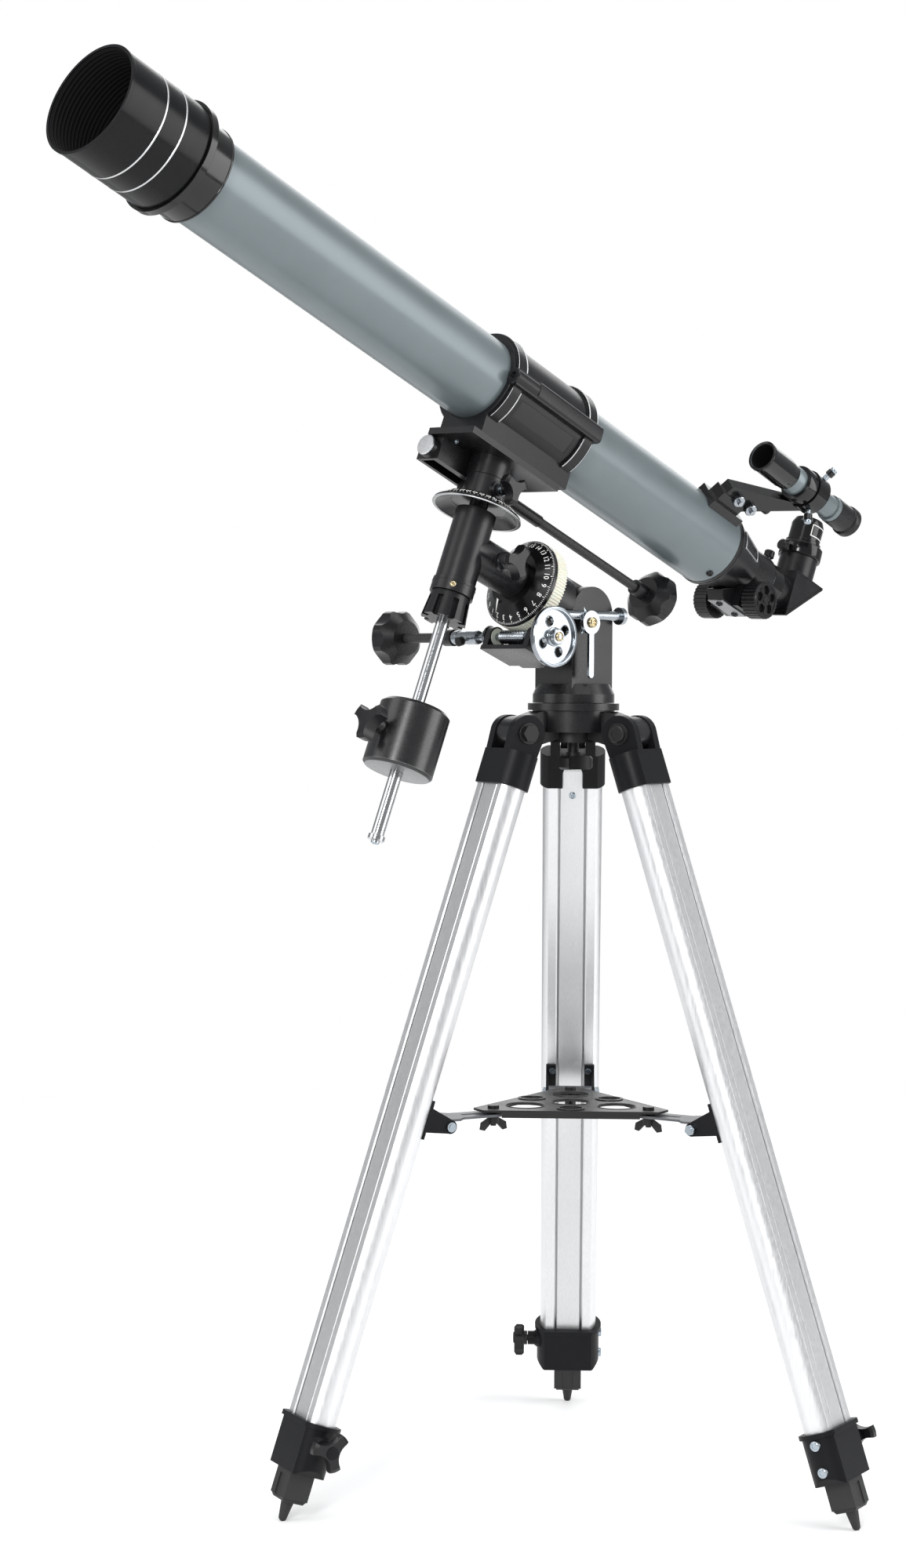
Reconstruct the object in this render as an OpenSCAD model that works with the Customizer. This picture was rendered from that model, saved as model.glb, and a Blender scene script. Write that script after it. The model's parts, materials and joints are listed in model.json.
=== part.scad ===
// A small achromatic refractor on an equatorial mount and a folding aluminium tripod.
// Millimetres, +Z up. The origin is on the floor, in the middle of the whole outline.

/* [Tripod] */
// Radius of the circle that the three foot tips stand on
foot_radius = 277.5; // [274:0.5:281]
// Height of the leg hinges above the floor
hinge_z = 660; // [656:1:664]
// Width of one leg, across both rails
leg_width = 53.5; // [53:0.5:54]
// Depth of one leg
leg_depth = 24; // [23.5:0.5:24.5]
// Height of the tray's top face above the floor
tray_z = 335; // [330:1:340]
// Diameter of the tray's eyepiece holes
eyepiece_hole_d = 33; // [31:0.5:35]

/* [Mount] */
// Height of the polar axis above the horizon, in degrees
latitude = 22.2; // [18:0.1:30]
// Direction that the polar axis points, in degrees from +X
pole_azimuth = 225; // [215:1:235]
// Height of the latitude hinge above the floor
latitude_hinge_z = 762.5; // [760:0.5:766]
// Distance along the polar axis from the latitude hinge to the declination axis
polar_length = 141.5; // [140:0.5:145]
// Turn of the telescope about the declination axis, in degrees
tube_turn = 3.5; // [-10:0.5:10]
// Distance of the counterweight's middle from the polar axis
counterweight_reach = 173; // [150:1:210]

/* [Telescope] */
// Outer diameter of the main tube
tube_d = 73; // [72:0.5:73.5]
// Outer diameter of the dew shield
shield_d = 90; // [89:0.5:92]
// Distance of the telescope's axis from the polar axis
tube_height = 137; // [136:0.5:138]
// Distance of the dew shield's mouth ahead of the declination axis
mouth_x = 498; // [480:1:520]

/* [Hidden] */
$fn = 64;

// Where the tripod's axis stands in the whole outline
tripod_x = 63.82;
tripod_y = 76.85;

// Compass directions of the three legs
REAR = 90;
LEFT = 210;
RIGHT = 330;
LEGS = [REAR, LEFT, RIGHT];

// Clearances: a shaft turning in its bore, parts of two bodies, parts of one body
run = 0.06;
gap = 0.4;
snug = 0.15;

// Leg sizes, with z measured up the leg from its hinge
hinge_r = 56;
leg_lean = atan((foot_radius - hinge_r) / hinge_z);
tip_r = 3.6;
tip_centre_height = 3;
tip_centre_z = -(hinge_z - tip_centre_height) / cos(leg_lean);
rail_side_r = 16;
rail_inner_y = 12.8;
rail_top_z = -24.5;
rail_bottom_z = -646;
slider_half_w = 11.3;
slider_half_d = 11;
slider_top_z = -30;
collar_top_z = -609;
collar_bottom_z = -653;
collar_boss_z = -626;
collar_screw_heights = [-618.5, -641];
bracket_bottom_z = -49;
hub_arm_half_w = 11;
ear_outer_y = 20;
pivot_bolt_r = 4;

// Tray sizes
tray_inradius = 53.5;
tray_corner_r = 92.5;
tray_t = 2;
tray_bolt_r = 77.5;
tray_bolt_shank_r = 2.5;
arm_hinge_r = 131;
arm_hinge_z = tray_z - 10;
arm_t = 2;
arm_top_z = tray_z - 4;
arm_ear_y = 20.2;

// Mount sizes
polar_shaft_r = 8;
worm_drop = 46.4;
worm_z = -80;
wheel_r = 40;
wheel_teeth = 90;
housing_r = 17.5;
dec_seam_z = 64;
dec_clutch_z = 54.2;
saddle_bottom_z = 81;
saddle_top_z = 87;
tangent_y = -24;
tangent_z = 71;
shaft_r = 5.5;
shaft_end_z = -263.7;
counterweight_r = 30;
counterweight_h = 57;

// Telescope sizes
tube_r = tube_d / 2;
tube_wall = 1.5;
shield_r = shield_d / 2;
shield_wall = 1.5;
cradle_front_x = 45.5;
cradle_rear_x = -69.5;
shield_rear_x = mouth_x - 82;
tube_front_x = mouth_x - 98;
tube_rear_x = mouth_x - 793;
pinion_x = mouth_x - 850.6;
pinion_drop = 30;
eyepiece_x = mouth_x - 924;
barrel_r = 15.88;
finder_h = 98;
finder_ring_x = mouth_x - 829;

// ---- Plain shapes ----

module box(low, high) {
    translate(low) cube(high - low);
}

module rod_x(r, x0, x1) {
    translate([x0, 0, 0]) rotate([0, 90, 0]) cylinder(r = r, h = x1 - x0);
}

module rod_y(r, y0, y1) {
    translate([0, y0, 0]) rotate([-90, 0, 0]) cylinder(r = r, h = y1 - y0);
}

module rod_z(r, z0, z1) {
    translate([0, 0, z0]) cylinder(r = r, h = z1 - z0);
}

// A cone along X, from radius r0 at x0 to radius r1 at x1
module cone_x(r0, r1, x0, x1) {
    translate([x0, 0, 0]) rotate([0, 90, 0]) cylinder(r1 = r0, r2 = r1, h = x1 - x0);
}

// A flat outline in X and Z, given thickness from y0 to y1
module plate_xz(y0, y1) {
    translate([0, y1, 0]) rotate([90, 0, 0]) linear_extrude(y1 - y0) children();
}

// A disc outline with round bites taken out of its edge
module bitten_disc(r, bites, bite_r, bite_depth) {
    difference() {
        circle(r);
        for (i = [0:bites - 1])
            rotate((i + 0.5) * 360 / bites) translate([r + bite_r - bite_depth, 0]) circle(bite_r);
    }
}

// A three-armed clamping knob that stands up from z = 0
module clamp_knob(r, h) {
    intersection() {
        linear_extrude(h) bitten_disc(r, 3, r * 0.85, r * 0.6);
        rotate_extrude() polygon([[0, 0], [r - 2, 0], [r, 2], [r, h - 2], [r - 3, h], [0, h]]);
    }
    rod_z(r * 0.4, -3, h);
}

// A large scalloped knob, centred on z = 0, with its nose towards +Z
module scalloped_knob(r, h) {
    intersection() {
        translate([0, 0, -h / 2]) linear_extrude(h) bitten_disc(r, 8, r * 0.75, r * 0.11);
        rotate_extrude()
            polygon([[0, -h / 2], [r * 0.62, -h / 2], [r, -h * 0.18], [r, h * 0.18],
                [r * 0.66, h / 2], [0, h / 2]]);
    }
}

// ---- Frames of reference ----

module on_tripod() {
    translate([tripod_x, tripod_y, 0]) children();
}

// X points away from the tripod's axis, towards one leg
module towards_leg(azimuth) {
    on_tripod() rotate([0, 0, azimuth]) children();
}

// The leg's own frame: Z up the leg, X outwards, origin on its hinge
module on_leg(azimuth) {
    towards_leg(azimuth) translate([hinge_r, 0, hinge_z]) rotate([0, -leg_lean, 0]) children();
}

// X points horizontally under the pole, Y across the mount
module on_mount() {
    on_tripod() rotate([0, 0, pole_azimuth]) children();
}

// Z is the polar axis, X points down the counterweight shaft, origin where the two axes cross
module on_polar() {
    on_mount() translate([0, 0, latitude_hinge_z]) rotate([0, 90 - latitude, 0])
        translate([0, 0, polar_length]) children();
}

// Z is the declination axis, towards the telescope, X is along the polar axis
module on_dec() {
    on_polar() rotate([0, -90, 0]) children();
}

// As on_dec, turned with the telescope
module on_saddle() {
    on_dec() rotate([0, 0, tube_turn]) children();
}

// X is the telescope's axis, towards the sky, Z points away from the mount
module on_tube() {
    on_saddle() translate([0, 0, tube_height]) children();
}

// As on_tube, with Z turned towards the finder
module on_finder() {
    on_tube() rotate([-45, 0, 0]) children();
}

// ---- Tripod ----

// The outline of a leg: flat faces and bulging sides, grown all round
module leg_outline(grow) {
    intersection() {
        square([leg_depth + 2 * grow, 80], center = true);
        union() {
            square([leg_depth + 2 * grow, leg_width - 2 * rail_side_r], center = true);
            for (side = [-1, 1])
                translate([0, side * (leg_width / 2 - rail_side_r)]) circle(rail_side_r + grow);
        }
    }
}

module tripod_hub() {
    flange_r = 40;
    body_r = 36;
    color("#1c1c1e") on_tripod() difference() {
        union() {
            rod_z(flange_r, 680, 686);
            rod_z(body_r, 661, 680);
            rod_z(body_r - 12, 652, 661);
            for (azimuth = LEGS)
                rotate([0, 0, azimuth]) plate_xz(-hub_arm_half_w, hub_arm_half_w)
                    hub_arm_outline();
        }
        rod_z(5 + snug, 640, 690);
        for (azimuth = LEGS)
            rotate([0, 0, azimuth]) translate([hinge_r, 0, hinge_z])
                rod_y(pivot_bolt_r + snug, -20, 20);
    }
}

// Side view of the arm that reaches out to one leg hinge
module hub_arm_outline() {
    boss_r = 15;
    translate([hinge_r, hinge_z]) circle(boss_r);
    polygon([[18, hinge_z - 4], [18, 679], [38, 679], [52, hinge_z + 14.4],
        [hinge_r, hinge_z], [hinge_r, hinge_z - boss_r]]);
}

// Three hinge bolts and the centre bolt that holds the mount
module hub_bolts() {
    color("#2b2b2d") {
        for (azimuth = LEGS)
            towards_leg(azimuth) translate([hinge_r, 0, hinge_z]) {
                rod_y(pivot_bolt_r, -ear_outer_y - 2, ear_outer_y + 3);
                rod_y(7, -ear_outer_y - 5, -ear_outer_y - gap);
                translate([0, ear_outer_y + gap, 0]) rotate([-90, 0, 0])
                    linear_extrude(5) circle(7.5, $fn = 6);
            }
        on_tripod() {
            rod_z(5, 640, 704);
            translate([0, 0, 640]) rotate([180, 0, 0]) clamp_knob(17, 12);
        }
    }
}

// Two bulging rails with a groove on their inner faces
module leg_rails(azimuth) {
    color("#d9dadc") on_leg(azimuth) translate([0, 0, rail_bottom_z])
        linear_extrude(rail_top_z - rail_bottom_z) difference() {
            leg_outline(0);
            square([leg_depth + 2, 2 * rail_inner_y], center = true);
            for (face = [-1, 1], side = [-1, 1])
                translate([face * leg_depth / 2, side * rail_inner_y]) rotate(45)
                    square(1.5, center = true);
            square([6.4, 2 * rail_inner_y + 4.8], center = true);
            for (side = [-1, 1])
                translate([0, side * 20.2]) square([15, 5], center = true);
        }
}

// The fork at the top of a leg, and the two tray brackets on its inner face
module leg_brackets(azimuth) {
    color("#18181a") on_leg(azimuth) {
        difference() {
            union() {
                translate([0, 0, bracket_bottom_z]) linear_extrude(31) leg_outline(2.4);
                for (side = [-1, 1])
                    plate_xz(side * (ear_outer_y + hub_arm_half_w + gap) / 2 - 4.3,
                        side * (ear_outer_y + hub_arm_half_w + gap) / 2 + 4.3)
                        fork_ear_outline();
            }
            translate([0, 0, bracket_bottom_z - 1]) linear_extrude(25.7) leg_outline(snug);
            rod_y(pivot_bolt_r + run, -30, 30);
            translate([-leg_depth / 2, 0, -36]) rod_x(9, -10, 6);
            box([-leg_depth / 2 - 10, -9, bracket_bottom_z - 1], [-leg_depth / 2 + 6, 9, -36]);
        }
        tray_brackets();
    }
}

module fork_ear_outline() {
    circle(16);
    polygon([[-16, 0], [-14.4, -22], [14.4, -22], [16, 0]]);
}

// Places children at the tray arm's hinge, in the leg's frame
module at_arm_hinge() {
    reach = arm_hinge_r - hinge_r;
    drop = hinge_z - arm_hinge_z;
    translate([reach * cos(leg_lean) - drop * sin(leg_lean), 0,
        -reach * sin(leg_lean) - drop * cos(leg_lean)]) children();
}

module tray_brackets() {
    reach = arm_hinge_r - hinge_r;
    drop = hinge_z - arm_hinge_z;
    hinge_x = reach * cos(leg_lean) - drop * sin(leg_lean);
    hinge_at_z = -reach * sin(leg_lean) - drop * cos(leg_lean);
    face_x = -leg_depth / 2;
    ear_out_y = arm_ear_y + 2.2;
    for (side = [-1, 1])
        difference() {
            union() {
                box([face_x - 2.2, side > 0 ? 13.2 : -ear_out_y, hinge_at_z - 17],
                    [face_x, side > 0 ? ear_out_y : -13.2, hinge_at_z + 17]);
                plate_xz(side > 0 ? arm_ear_y : -ear_out_y, side > 0 ? ear_out_y : -arm_ear_y) {
                    polygon([[face_x, hinge_at_z - 11], [face_x, hinge_at_z + 11],
                        [hinge_x, hinge_at_z + 6], [hinge_x, hinge_at_z - 6]]);
                    translate([hinge_x, hinge_at_z]) circle(6);
                }
            }
            translate([hinge_x, 0, hinge_at_z]) rod_y(tray_bolt_shank_r + snug, -30, 30);
        }
}

// The clamp at the bottom of the rails, with a boss for its knob
module leg_collar(azimuth) {
    wall = 3.2;
    side_y = leg_width / 2 + wall;
    color("#161618") on_leg(azimuth) difference() {
        union() {
            intersection() {
                translate([0, 0, collar_bottom_z]) linear_extrude(collar_top_z - collar_bottom_z)
                    leg_outline(wall);
                rotate([90, 0, 90]) translate([0, 0, -30]) linear_extrude(60)
                    polygon([[-side_y, collar_top_z], [-side_y, collar_bottom_z + 6],
                        [6 - side_y, collar_bottom_z], [side_y - 6, collar_bottom_z],
                        [side_y, collar_bottom_z + 6], [side_y, collar_top_z]]);
            }
            translate([0, 0, collar_top_z - 4]) linear_extrude(4) leg_outline(wall + 2);
            translate([0, 0, collar_boss_z]) rod_y(6.6, 24, 39);
            translate([0, 27, collar_boss_z]) rotate([-90, 0, 0]) cylinder(r1 = 11, r2 = 6.6, h = 6);
        }
        translate([0, 0, rail_bottom_z - snug]) linear_extrude(50) leg_outline(snug);
        box([-slider_half_d - gap, -slider_half_w - gap, -660],
            [slider_half_d + gap, slider_half_w + gap, -640]);
        box([-3.2, -rail_inner_y - 2.4, -660], [3.2, rail_inner_y + 2.4, -640]);
        translate([0, 0, collar_boss_z]) rod_y(3 + run, 26.9, 40);
        for (z = collar_screw_heights)
            translate([0, 0, z]) rod_y(4.2 + snug, -side_y - 3, -side_y + 0.7);
    }
}

// The sliding lower bar, with a tongue on each side
module leg_slider(azimuth) {
    foot_top_z = collar_bottom_z - gap;
    color("#c9cacc") on_leg(azimuth) translate([0, 0, foot_top_z])
        linear_extrude(slider_top_z - foot_top_z) difference() {
            union() {
                square([2 * slider_half_d, 2 * slider_half_w], center = true);
                square([5.6, 2 * rail_inner_y + 4], center = true);
            }
            square([2 * slider_half_d - 4, 2 * slider_half_w - 4], center = true);
            for (face = [-1, 1], side = [-1, 1])
                translate([face * slider_half_d, side * slider_half_w]) rotate(45)
                    square(1.2, center = true);
        }
}

// The foot block and its blunt tip, cut level at the floor
module leg_foot(azimuth) {
    foot_top_z = collar_bottom_z - gap;
    shoulder_z = -679;
    color("#1a1a1c") difference() {
        on_leg(azimuth) {
            difference() {
                union() {
                    box([-11.5, -13, shoulder_z + 3], [11.5, 13, foot_top_z]);
                    plate_xz(-11, 11)
                        polygon([[-11.5, shoulder_z + 3], [11.5, shoulder_z + 3],
                            [9, shoulder_z], [-9, shoulder_z]]);
                }
                for (side = [-1, 1])
                    translate([side * 11.5, 0, 0])
                        box([-1.2, -5.5, shoulder_z - 1], [1.2, 5.5, foot_top_z - 4]);
            }
            rotate_extrude()
                polygon([[0, shoulder_z + 2], [5.9, shoulder_z + 2], [tip_r, tip_centre_z],
                    [0, tip_centre_z]]);
            translate([0, 0, tip_centre_z]) sphere(tip_r);
        }
        towards_leg(azimuth) box([foot_radius - 40, -40, -30], [foot_radius + 40, 40, 0]);
    }
}

// The clamping knob on the side of a collar
module leg_knob(azimuth) {
    color("#141416") on_leg(azimuth) translate([0, 0, collar_boss_z]) {
        rod_y(3, 27.3, 44);
        translate([0, 42.5, 0]) rotate([-90, 0, 0]) clamp_knob(17, 9.5);
    }
}

// The bright screws of one leg: two in the collar, four in the tray brackets, one hinge bolt
module leg_screws(azimuth) {
    collar_side_y = leg_width / 2 + 3.2;
    reach = arm_hinge_r - hinge_r;
    drop = hinge_z - arm_hinge_z;
    hinge_at_z = -reach * sin(leg_lean) - drop * cos(leg_lean);
    color("#b9c2cc") on_leg(azimuth) {
        for (z = collar_screw_heights)
            translate([0, 0, z]) rod_y(4.2, -collar_side_y - 2.2, -collar_side_y + 0.6);
        for (side = [-1, 1])
            for (z = [hinge_at_z - 13.2, hinge_at_z + 11.5])
                translate([0, side * 16.6, z])
                    rod_x(2.9, -leg_depth / 2 - 3.9, -leg_depth / 2 - 2.2);
        at_arm_hinge() {
            rod_y(tray_bolt_shank_r, -27, 25.5);
            rod_y(4.2, arm_ear_y + 2.3, arm_ear_y + 4.6);
            translate([0, -arm_ear_y - 6.3, 0]) rotate([-90, 0, 0])
                linear_extrude(4) circle(4.8, $fn = 6);
        }
    }
}

// A flat slotted strap from the leg to the underside of the tray
module tray_arm(azimuth) {
    inner_r = 69;
    slot_inner_r = tray_bolt_r - 1;
    slot_outer_r = 106;
    half_w = 13.5;
    eye_half_w = arm_ear_y - gap;
    color("#3a3c3f") towards_leg(azimuth) difference() {
        union() {
            translate([0, 0, arm_top_z - arm_t]) linear_extrude(arm_t)
                polygon([[inner_r, -7], [inner_r, 7], [inner_r + 8, half_w], [114, half_w],
                    [120, eye_half_w], [arm_hinge_r - 2, eye_half_w], [arm_hinge_r - 2, -eye_half_w],
                    [120, -eye_half_w], [114, -half_w], [inner_r + 8, -half_w]]);
            translate([arm_hinge_r, 0, arm_hinge_z]) rod_y(4.6, -eye_half_w, eye_half_w);
            box([arm_hinge_r - 4, -eye_half_w, arm_hinge_z + 2],
                [arm_hinge_r - 2, eye_half_w, arm_top_z]);
        }
        translate([arm_hinge_r, 0, arm_hinge_z]) rod_y(tray_bolt_shank_r + run, -20, 20);
        box([slot_inner_r, -3, arm_top_z - 5], [slot_outer_r, 3, arm_top_z + 5]);
        translate([slot_inner_r, 0, 0]) rod_z(3, arm_top_z - 5, arm_top_z + 5);
        translate([slot_outer_r, 0, 0]) rod_z(3, arm_top_z - 5, arm_top_z + 5);
    }
}

module tray_plate() {
    corner_half = (2 * tray_inradius - tray_corner_r) * tan(30);
    lip_half = 59.5;
    lip_h = 6.5;
    hole_ring_r = 46;
    small_ring_r = 39.5;
    small_hole_r = 7.5;
    bead_r = 12.4;
    color("#17171a") on_tripod() difference() {
        union() {
            translate([0, 0, tray_z - tray_t]) linear_extrude(tray_t)
                polygon([for (azimuth = LEGS, side = [-1, 1])
                    [tray_corner_r * cos(azimuth) - side * corner_half * sin(azimuth),
                     tray_corner_r * sin(azimuth) + side * corner_half * cos(azimuth)]]);
            for (azimuth = LEGS)
                rotate([0, 0, azimuth + 180])
                    box([tray_inradius - 1.6, -lip_half, tray_z - lip_h],
                        [tray_inradius, lip_half, tray_z]);
            for (azimuth = LEGS)
                rotate([0, 0, azimuth + 180]) translate([small_ring_r, 0, 0])
                    rod_z(bead_r, tray_z - tray_t, tray_z + 1);
        }
        rod_z(eyepiece_hole_d / 2, tray_z - 10, tray_z + 10);
        for (azimuth = LEGS) {
            rotate([0, 0, azimuth]) translate([hole_ring_r, 0, 0])
                rod_z(eyepiece_hole_d / 2, tray_z - 10, tray_z + 10);
            rotate([0, 0, azimuth]) translate([tray_bolt_r, 0, 0])
                rod_z(tray_bolt_shank_r + snug, tray_z - 10, tray_z + 10);
            rotate([0, 0, azimuth + 180]) translate([small_ring_r, 0, 0]) {
                rod_z(small_hole_r, tray_z - 10, tray_z + 10);
                rod_z(bead_r - 2.4, tray_z, tray_z + 10);
            }
        }
    }
}

// Three screws down through the tray, each with a wing nut under its arm
module tray_bolts() {
    nut_top_z = arm_top_z - arm_t - gap;
    color("#232326") for (azimuth = LEGS)
        towards_leg(azimuth) translate([tray_bolt_r, 0, 0]) {
            rod_z(tray_bolt_shank_r, nut_top_z - 9, tray_z);
            rod_z(5, tray_z, tray_z + 2.5);
            rod_z(5, nut_top_z - 7, nut_top_z);
            for (side = [-1, 1])
                plate_xz(-1.2, 1.2)
                    polygon([[side * 3, nut_top_z - 1], [side * 3, nut_top_z - 7],
                        [side * 9, nut_top_z - 13], [side * 13, nut_top_z - 12],
                        [side * 12, nut_top_z - 6]]);
        }
}

// ---- Mount ----

module mount_base() {
    half_u = 25;
    half_n = 22.5;
    ring_r = 35.75;
    color("#19191b") on_mount() difference() {
        union() {
            rod_z(ring_r, 686 + gap, 694);
            translate([0, 0, 694]) cylinder(r1 = ring_r, r2 = 31.5, h = 9);
            box([-half_u, -half_n, 690], [half_u, half_n, latitude_hinge_z]);
            translate([0, 0, latitude_hinge_z]) rod_y(half_u, -half_n, half_n);
        }
        difference() {
            box([-half_u - 1, -8, latitude_hinge_z - 28], [half_u + 1, 8, latitude_hinge_z + 40]);
            translate([0, 0, latitude_hinge_z]) rod_y(latitude_pin_r, -9, 9);
        }
        translate([lever_u, 0, lever_z]) rod_y(lever_bolt_r + run, 9, half_n + 1);
        rod_z(5 + run, 680, 706);
    }
}

latitude_pin_r = 5;
lever_u = 13.6;
lever_z = latitude_hinge_z - 6.5;
lever_y = 32.6;
lever_bolt_r = 2;
screw_y = 27.6;
screw_z = latitude_hinge_z - 0.2;

// A round head with a hanging handle, on a bolt through the near cheek
module latitude_lever() {
    color("#c3c8cf") on_mount() translate([lever_u, 0, lever_z]) {
        rod_y(lever_bolt_r, 10, lever_y);
        rod_y(10.3, lever_y, lever_y + 2.5);
        rod_y(4, lever_y + 2, lever_y + 4.5);
        box([-2.9, lever_y, -45], [2.9, lever_y + 2.5, -8]);
        translate([0, 0, -45]) rod_y(2.9, lever_y, lever_y + 2.5);
    }
}

// The bright adjusting screw beside the near cheek, with a slotted head
module latitude_screw() {
    color("#cfd3d8") on_mount() translate([0, screw_y, screw_z]) difference() {
        union() {
            rod_x(4, -27, 39);
            rod_x(7.6, -31, -27);
        }
        box([-32, -8, -0.9], [-29.4, 8, 0.9]);
    }
}

// The latitude tongue, the polar bearing and the worm's bracket
module polar_head() {
    barrel_r = 25;
    plate_x = worm_drop + 11;
    color("#1a1a1c") on_polar() difference() {
        union() {
            rod_z(barrel_r, -115, -87);
            box([-24.5, -7.5, -polar_length], [24.5, 7.5, -100]);
            translate([0, 0, -polar_length]) rod_y(24.5, -7.5, 7.5);
            box([16, -13, -113], [plate_x + 4, 13, -89]);
            box([plate_x, -25, -108], [plate_x + 4, 31, -70]);
            for (y = [-22, 28]) {
                box([worm_drop, y - 3, worm_z - 9], [plate_x + 4, y + 3, worm_z + 9]);
                translate([worm_drop, 0, worm_z]) rod_y(9, y - 3, y + 3);
            }
        }
        rod_z(polar_shaft_r + run, -112, -80);
        translate([0, 0, -polar_length]) rod_y(latitude_pin_r + run, -8, 8);
        translate([worm_drop, 0, worm_z]) rod_y(3 + run, -30, 40);
    }
}

// The worm, its shaft, the coupling sleeve and the bright disc at the far end
module worm_shaft() {
    threads = 10;
    pitch = 3;
    worm_len = threads * pitch;
    disc_y = 47.5;
    color("#c9ced4") on_polar() translate([worm_drop, 0, worm_z]) {
        rod_y(3, -42, 56);
        rotate([-90, 0, 0]) translate([0, 0, -worm_len / 2 + 2]) rotate_extrude()
            polygon(concat([[0, 0]],
                [for (i = [0:threads - 1], half = [0, 1])
                    [half == 0 ? 4.6 : 6, (i + half / 2) * pitch]],
                [[4.6, worm_len], [0, worm_len]]));
        rod_y(7, -28, -25 - gap);
        difference() {
            union() {
                rod_y(25.5, disc_y, disc_y + 2.5);
                rod_y(25.5, disc_y, disc_y + 5);
            }
            rod_y(23, disc_y + 2.5, disc_y + 6);
            for (i = [0:3])
                rotate([0, 45 + i * 90, 0]) translate([14, 0, 0]) rod_y(4.3, disc_y - 1, disc_y + 9);
        }
        rod_y(6.5, disc_y - 6, disc_y + 8);
        rod_y(3.6, disc_y + 8, disc_y + 10.5);
        rod_y(5.6, -73, -42);
        translate([0, -50, 0]) rotate([0, -55, 0]) {
            rod_x(1.6, 5, 13);
            rod_x(3.4, 13, 18);
        }
    }
}

// The right-ascension slow-motion control
module ra_slow_knob() {
    color("#121214") on_polar() translate([worm_drop, 0, worm_z]) {
        rod_y(7.4, -84, -73);
        rod_y(4, -138, -84);
        translate([0, -150, 0]) rotate([90, 0, 0]) scalloped_knob(25, 28);
    }
}

// A plastic wheel with straight teeth round its rim
module worm_wheel() {
    step = 360 / wheel_teeth;
    color("#e3e0d2") on_polar() difference() {
        translate([0, 0, -86.4]) linear_extrude(12)
            polygon([for (i = [0:wheel_teeth - 1], edge = [0.12, 0.38, 0.6, 0.9])
                (edge < 0.5 ? wheel_r - 0.2 : wheel_r - 1.4)
                    * [cos((i + edge) * step), sin((i + edge) * step)]]);
        rod_z(polar_shaft_r + run, -90, -70);
    }
}

// The black setting circle, a shallow cone in front of the wheel
module ra_circle() {
    color("#0f0f11") on_polar() difference() {
        rotate_extrude()
            polygon([[polar_shaft_r + run, -74], [39.5, -74], [39.5, -71], [25, -62],
                [polar_shaft_r + run, -62]]);
        rod_z(polar_shaft_r + run, -80, -60);
    }
}

// The tee that carries the declination axis, with the polar shaft
module ra_housing() {
    color("#1d1d20") on_polar() difference() {
        union() {
            rod_x(housing_r, -33.5, 31);
            rod_x(housing_r + 1.2, 31, 42.7);
            rod_z(housing_r + 0.2, -61.6, 0);
            rod_z(polar_shaft_r, -111, -60);
            translate([0, 0, -28]) rod_y(8, 10, 21);
        }
        rod_x(polar_shaft_r + run, -40, 50);
        translate([0, 0, -28]) rod_y(3 + run, 12, 30);
    }
}

module ra_clutch_knob() {
    color("#131315") on_polar() translate([0, 0, -28]) {
        rod_y(3, 12.4, 27);
        rod_y(5.5, 21 + gap, 27);
        translate([0, 29, 0]) rotate([-90, 0, 0]) rotate([0, 0, 40]) clamp_knob(16, 11);
    }
}

// The clutch half of the declination head, with its shaft and the tangent arm's peg
module dec_neck() {
    color("#1d1d20") {
        on_dec() difference() {
            union() {
                rod_z(housing_r, 42 + gap, dec_seam_z);
                rod_z(polar_shaft_r, -42, 43);
                translate([0, 0, dec_clutch_z]) rod_y(7.5, 10, 20);
            }
            translate([0, 0, dec_clutch_z]) rod_y(3 + run, 11, 30);
        }
        on_saddle() {
            box([-4, tangent_y - 4, 54], [4, -10, 60]);
            box([-3, tangent_y - 3, 54], [3, tangent_y + 3, tangent_z + 3]);
        }
    }
}

// The declination circle, a dish with its rim towards the housing
module dec_circle() {
    color("#111113") on_dec() rotate_extrude()
        polygon([[polar_shaft_r + run, 40], [26, 40], [36.5, 34], [38.5, 34], [38.5, 36],
            [27, 42], [polar_shaft_r + run, 42]]);
}

module dec_clutch_knob() {
    color("#131315") on_dec() translate([0, 0, dec_clutch_z]) {
        rod_y(3, 11.4, 29);
        rod_y(5.4, 20 + gap, 29);
        translate([0, 31.6, 0]) rotate([-90, 0, 0]) rotate([0, 0, -20]) clamp_knob(13.6, 10);
    }
}

// The upper part of the declination head: tangent-screw box and saddle plate
module saddle_head() {
    wall = 3;
    color("#1b1b1e") on_saddle() difference() {
        union() {
            rod_z(housing_r, dec_seam_z + gap, saddle_bottom_z);
            box([-40, -37, 61], [50, -12, saddle_bottom_z]);
            box([-60, -26, saddle_bottom_z], [56, 26, saddle_top_z]);
            translate([0, tangent_y, tangent_z]) rod_x(9.5, 48, 56);
        }
        box([-40 + wall, tangent_y - 9, 50], [50 - wall, tangent_y + 5, saddle_bottom_z - 2]);
        rod_z(housing_r + gap, 50, dec_seam_z + gap);
        translate([0, tangent_y, tangent_z]) rod_x(3 + run, -45, -30);
    }
}

// The declination slow-motion control
module dec_slow_knob() {
    knob_x = -268;
    color("#121214") on_saddle() translate([0, tangent_y, tangent_z]) {
        rod_x(3, -70, -8);
        rod_x(7, -56, -42);
        rod_x(5.5, -98, -56);
        rod_x(4, knob_x + 10, -98);
        rod_x(7, knob_x + 12, knob_x + 28);
        translate([knob_x, 0, 0]) rotate([0, -90, 0]) scalloped_knob(25, 28);
    }
}

// A flared nut with eight fins, where the counterweight shaft enters
module shaft_nut() {
    color("#1a1a1d") on_dec() difference() {
        rotate_extrude()
            polygon([[shaft_r + snug, -65.6], [19.4, -65.6], [17, -43], [shaft_r + snug, -43]]);
        for (i = [0:7])
            rotate([0, 0, 22.5 + i * 45]) box([14, -2.6, -70], [24, 2.6, -48]);
    }
}

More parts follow.
